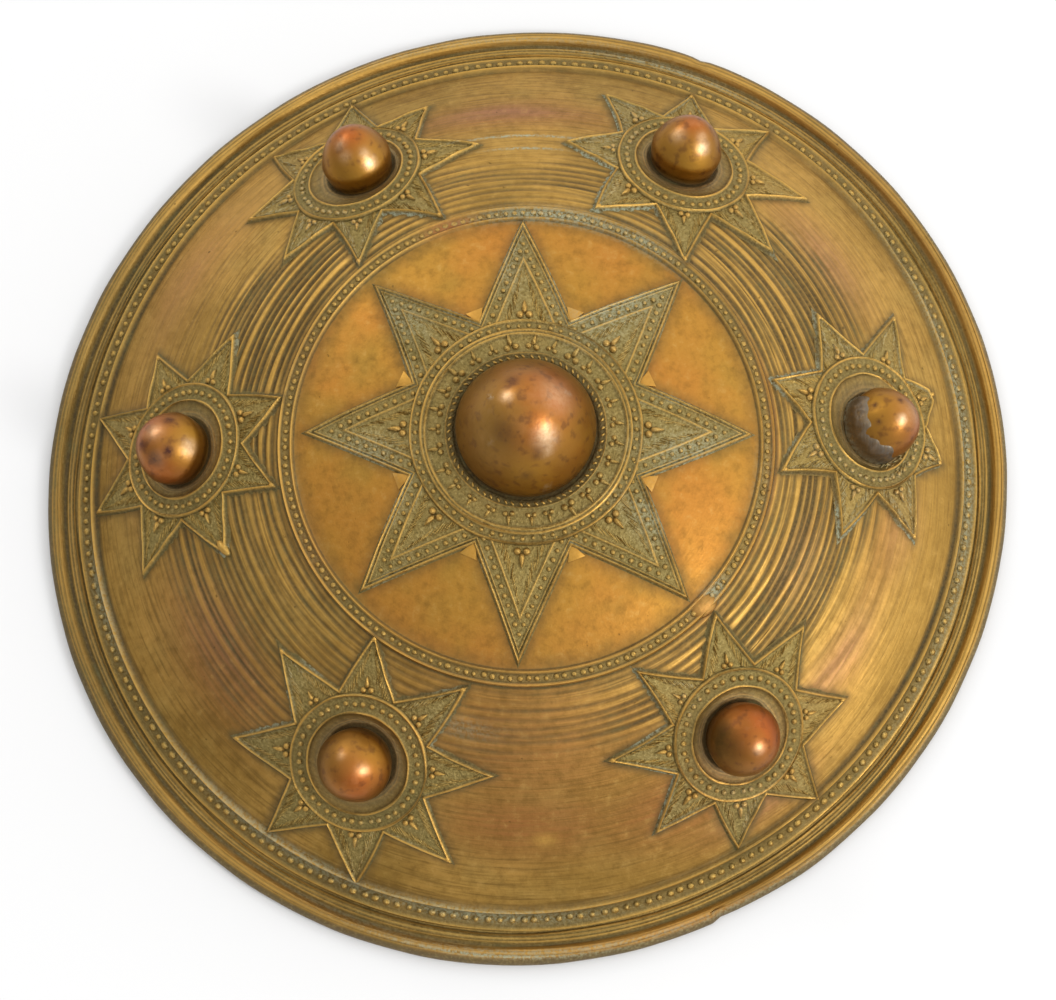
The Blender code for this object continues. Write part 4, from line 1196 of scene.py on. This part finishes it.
bosses = {
    "small": {"radius": 10.35, "foot": 9.35, "bottom": -0.25, "shoulder": 6.0, "top": 15.75,
              "cone": 0.17, "waist": 0.0},  # narrower than a ball at the top and halfway
    "centre": {"radius": 19.45, "foot": 18.95, "bottom": -0.65, "shoulder": 3.4, "top": 24.25,
               "cone": 0.03, "waist": 0.10},
    "unevenness": 0.2,
    "columns": 96,
    "sideSteps": ((0.2, 0.45), (0.5, 0.8), (0.8, 0.95)),  # share of the way up to the shoulder, and outwards
    "crownSteps": (0, 6, 12, 18, 24, 30, 36, 42, 48, 54, 60, 66, 71, 76, 80, 84, 87),  # degrees
}
# the whitish highlight marks below are painted highlights where the lamps' highlights fall, and the
# olive-black side marks are painted shade
bossMarks = {  # by direction in each boss's own frame: kind, turn, lift, half-width in degrees, strength
    "centre": (
        ("spot", 137, 64, 6, 0.9), ("spot", -110, 62, 9, 0.5), ("spot", -54, 48, 5, 0.7),
        ("spot", -68, 25, 5, 0.6), ("pale", -180, 58, 1.8, 0.7), ("pale", -155, 60, 1.5, 0.7),
        ("pale", -117, 48, 2.0, 0.6), ("pale", 46, 46, 2.5, 0.5), ("pale", -51, 6, 2.5, 0.7),
        ("ochre", 9, 20, 34, 1.0), ("ochre", -66, 14, 38, 1.0), ("ochre", -150, 42, 45, 0.9),
        ("paintedShade", -124, 30, 38, 0.4), ("paintedShade", -95, 15, 28, 0.35), ("paintedShade", 175, 25, 30, 0.15),
        ("crown", 91, 76, 24, 1.0), ("crown", -40, 72, 24, 0.9), ("crown", 40, 56, 30, 1.0),
        ("bright", -34, 58, 9, 0.9), ("bright", -40, 48, 6, 0.6), ("bright", 173, 73, 5, 0.7),
        ("bright", 45, 60, 15, 0.35), ("bright", -150, 50, 42, 0.07),
    ),
    "left": (
        ("spot", -126, 40, 11, 0.9), ("spot", 30, 76, 9, 0.9), ("spot", 149, 49, 10, 1.0),
        ("spot", 102, 56, 14, 0.7), ("ochre", -171, 0, 40, 1.0), ("ochre", 160, 20, 26, 0.8),
        ("crown", -60, 60, 50, 1.0), ("crown", 100, 30, 50, 0.9), ("bright", 170, 14, 13, 0.8),
        ("bright", -123, 73, 15, 0.45), ("bright", 108, 54, 13, 0.3),
    ),
    "right": (
        ("spot", 102, 65, 5, 1.0), ("spot", 155, 33, 6, 0.9), ("spot", -166, 38, 5, 0.9),
        ("crown", -4, 60, 60, 0.9), ("ochre", 150, 30, 60, 0.8), ("bright", -135, 77, 8, 1.0),
        ("bright", 7, 70, 25, 0.3),
    ),
    "upper_right": (
        ("crown", 161, 83, 30, 1.0), ("ochre", -154, 6, 45, 0.9), ("ochre", 150, 20, 40, 0.5),
        ("bright", -132, 43, 11, 0.9), ("bright", -132, 60, 9, 0.5), ("bright", 153, 49, 12, 0.45),
    ),
    "upper_left": (
        ("crown", -174, 81, 34, 1.0), ("ochre", 150, -5, 50, 0.9), ("ochre", -167, 5, 40, 0.8),
        ("bright", -167, 17, 11, 0.9), ("bright", -167, 36, 9, 0.5), ("bright", 128, 65, 10, 0.4),
        ("bright", 147, 45, 10, 0.35),
    ),
    "lower_left": (
        ("crown", 110, 60, 45, 0.9), ("crown", 60, 50, 35, 0.8), ("paintedShade", -70, 15, 42, 0.6),
        ("ochre", 150, 15, 35, 0.7), ("bright", 136, 54, 9, 0.45), ("bright", -146, 54, 7, 0.25),
    ),
    "lower_right": (
        ("crown", 120, 45, 75, 1.0), ("crown", 60, 20, 50, 1.0), ("paintedShade", -130, 20, 46, 0.9),
        ("paintedShade", -90, 40, 25, 0.4), ("bright", 112, 88, 9, 0.5),
    ),
}


def bossProfile(size):  # reach and height, from the foot up to the crown
    radius, foot, shoulder = size["radius"], size["foot"], size["shoulder"]
    rise = size["top"] - shoulder
    profile = [(foot, size["bottom"]), (foot, 0.3), (foot + 0.05, 0.7)]
    for share, wide in bosses["sideSteps"]:
        profile.append((foot + wide * (radius - foot), 0.7 + share * (shoulder - 0.7)))
    for degrees in bosses["crownSteps"]:
        lift = math.radians(degrees)
        narrower = 1 - size["cone"] * math.sin(lift) ** 0.8 - size["waist"] * math.sin(2 * lift)
        profile.append((radius * math.cos(lift) * narrower, shoulder + rise * math.sin(lift)))
    return profile


def bossPiece(star, name, node, seat, size, seed):
    radius, shoulder, top = size["radius"], size["shoulder"], size["top"]
    columns = bosses["columns"]
    angle = np.arange(columns) * 360 / columns
    turn = np.radians(angle)
    profile = bossProfile(size)
    rings = []
    marks = {key: [] for key in rubbedCopper["marks"]}
    for number, (wide, high) in enumerate(profile):
        share = high / top
        uneven = bosses["unevenness"] * waves(angle, seed, (2, 3)) * (1 - abs(2 * share - 1))
        uneven = np.minimum(uneven - 0.12 * radius / 10, 0) if number > 1 else 0 * angle
        around = (wide + uneven * wide / radius)[:, None]
        rings.append(seat["foot"] + headings(seat, turn) * around + seat["normal"] * high)
        level = math.sin(math.atan2(high - shoulder, max(wide, 1e-6) * (top - shoulder) / radius))
        flat = math.sqrt(max(1 - level ** 2, 0))
        spoke = np.stack([flat * np.cos(turn), flat * np.sin(turn), level + 0 * turn], -1)
        here = {key: np.zeros(columns) for key in marks}
        for kind, towards, lift, width, strength in bossMarks[star]:
            way = np.append(wayOf(towards) * math.cos(math.radians(lift)), math.sin(math.radians(lift)))
            away = np.degrees(np.arccos(np.clip(spoke @ way, -1, 1)))
            here[kind] = np.maximum(here[kind], strength * hump(away, width))
        here["foot"] = ease((0.6 + 0.25 * waves(angle, seed + 3, (1, 2, 4)) - (high - 0.2) / 1.4))
        for key in marks:
            marks[key].append(here[key])
    ends = [seat["foot"] + seat["normal"] * high for high in (size["bottom"], top)]
    marks = {key: np.append(np.concatenate(values), [0, values[-1][0]]) for key, values in marks.items()}
    part = (np.concatenate(rings + [ends]), closedRings(len(profile), columns), marks)
    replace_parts(addPiece(name, part, copper), node)


bossPiece("centre", "centreBoss", "centre_boss", seatAt(-22.5, 0.0), bosses["centre"], 3000)
for number, (name, (azimuth, slip, shift, beads, tips)) in enumerate(smallStars.items()):
    seat = seatAt(azimuth, starZone + slip, shift)
    bossPiece(name, titleOf(name) + "Boss", name + "_boss", seat, bosses["small"], 3010 + number)
print("bosses ready")


# Floor, light and camera

studio = {
    "floorHalf": 3.0, "paper": "#E1E1E1",
    "skyTowards": (0.87, 0.45, 0.2),  # the brighter side of the room
    "sky": (0.45, 1.6),  # strength on the dim and on the bright side
    "lamps": {  # direction, distance, width, height, watts
        "rightSoftbox": ((0.65, -0.38, 0.655), 1.6, 0.34, 0.48, 8),
        "backSoftbox": ((-0.47, 0.69, 0.544), 1.6, 0.6, 0.5, 3),
    },
}
view = {  # metres, degrees and the lens in mm
    "distance": 0.821, "tilt": 14.68, "roll": -1.74, "lens": 95.9, "target": (0.0, -0.0109, 0.020),
}


def stand(right, up, back, at):  # how a lamp or camera stands; it looks away from "back"
    return Matrix([[right[i], up[i], back[i], at[i]] for i in range(3)] + [[0, 0, 0, 1]])


def paleFloor():
    half = studio["floorHalf"]
    corners = [(-half, -half, 0), (half, -half, 0), (half, half, 0), (-half, half, 0)]
    mesh = bpy.data.meshes.new("paleFloor")
    mesh.from_pydata(corners, [], [(0, 1, 2, 3)])
    # matt white paper: a soft even ground without sheen
    paper = bpy.data.materials.new("whitePaper")
    paper.use_nodes = True
    shader = paper.node_tree.nodes["Principled BSDF"]
    shader.inputs["Base Color"].default_value = linear(studio["paper"])
    shader.inputs["Roughness"].default_value = 0.9
    mesh.materials.append(paper)
    floor = bpy.data.objects.new("paleFloor", mesh)
    bpy.context.scene.collection.objects.link(floor)


def whiteStudio():
    world = bpy.data.worlds.new("whiteStudio")
    world.use_nodes = True
    tree = world.node_tree
    way = addNode(tree, "TexCoord", {}).outputs["Generated"]
    towards = tuple(unit(np.array(studio["skyTowards"])))
    facing = addNode(tree, "VectorMath", {0: way, 1: towards}, operation="DOT_PRODUCT").outputs["Value"]
    strength = addNode(tree, "MapRange", {"Value": facing, "From Min": -1.0, "From Max": 1.0,
                       "To Min": studio["sky"][0], "To Max": studio["sky"][1]}).outputs["Result"]
    tree.nodes["Background"].inputs["Color"].default_value = (1, 1, 1, 1)
    tree.links.new(strength, tree.nodes["Background"].inputs["Strength"])
    bpy.context.scene.world = world
    for name, (way, away, width, height, watts) in studio["lamps"].items():
        light = bpy.data.lights.new(name, "AREA")
        light.shape, light.size, light.size_y, light.energy = "RECTANGLE", width, height, watts
        lamp = bpy.data.objects.new(name, light)
        way = unit(np.array(way))
        side = unit(np.cross([0, 0, 1], way))
        lamp.matrix_world = stand(side, np.cross(way, side), way, way * away)
        bpy.context.scene.collection.objects.link(lamp)


def shieldCamera():
    tilt, roll = math.radians(view["tilt"]), math.radians(view["roll"])
    eye = np.array([0, -math.sin(tilt), math.cos(tilt)]) * view["distance"]
    ahead = unit(np.array(view["target"]) - eye)
    right = unit(np.cross(ahead, [0, 0, 1]))
    up = np.cross(right, ahead)
    across = right * math.cos(roll) + up * math.sin(roll)
    upwards = -right * math.sin(roll) + up * math.cos(roll)
    lens = bpy.data.cameras.new("camera")
    lens.sensor_width, lens.lens = 36.0, view["lens"]
    camera = bpy.data.objects.new("camera", lens)
    camera.matrix_world = stand(across, upwards, -ahead, eye)
    bpy.context.scene.collection.objects.link(camera)
    bpy.context.scene.camera = camera
    bpy.context.scene.view_settings.view_transform = "Standard"


paleFloor()
whiteStudio()
shieldCamera()
print("studio ready")
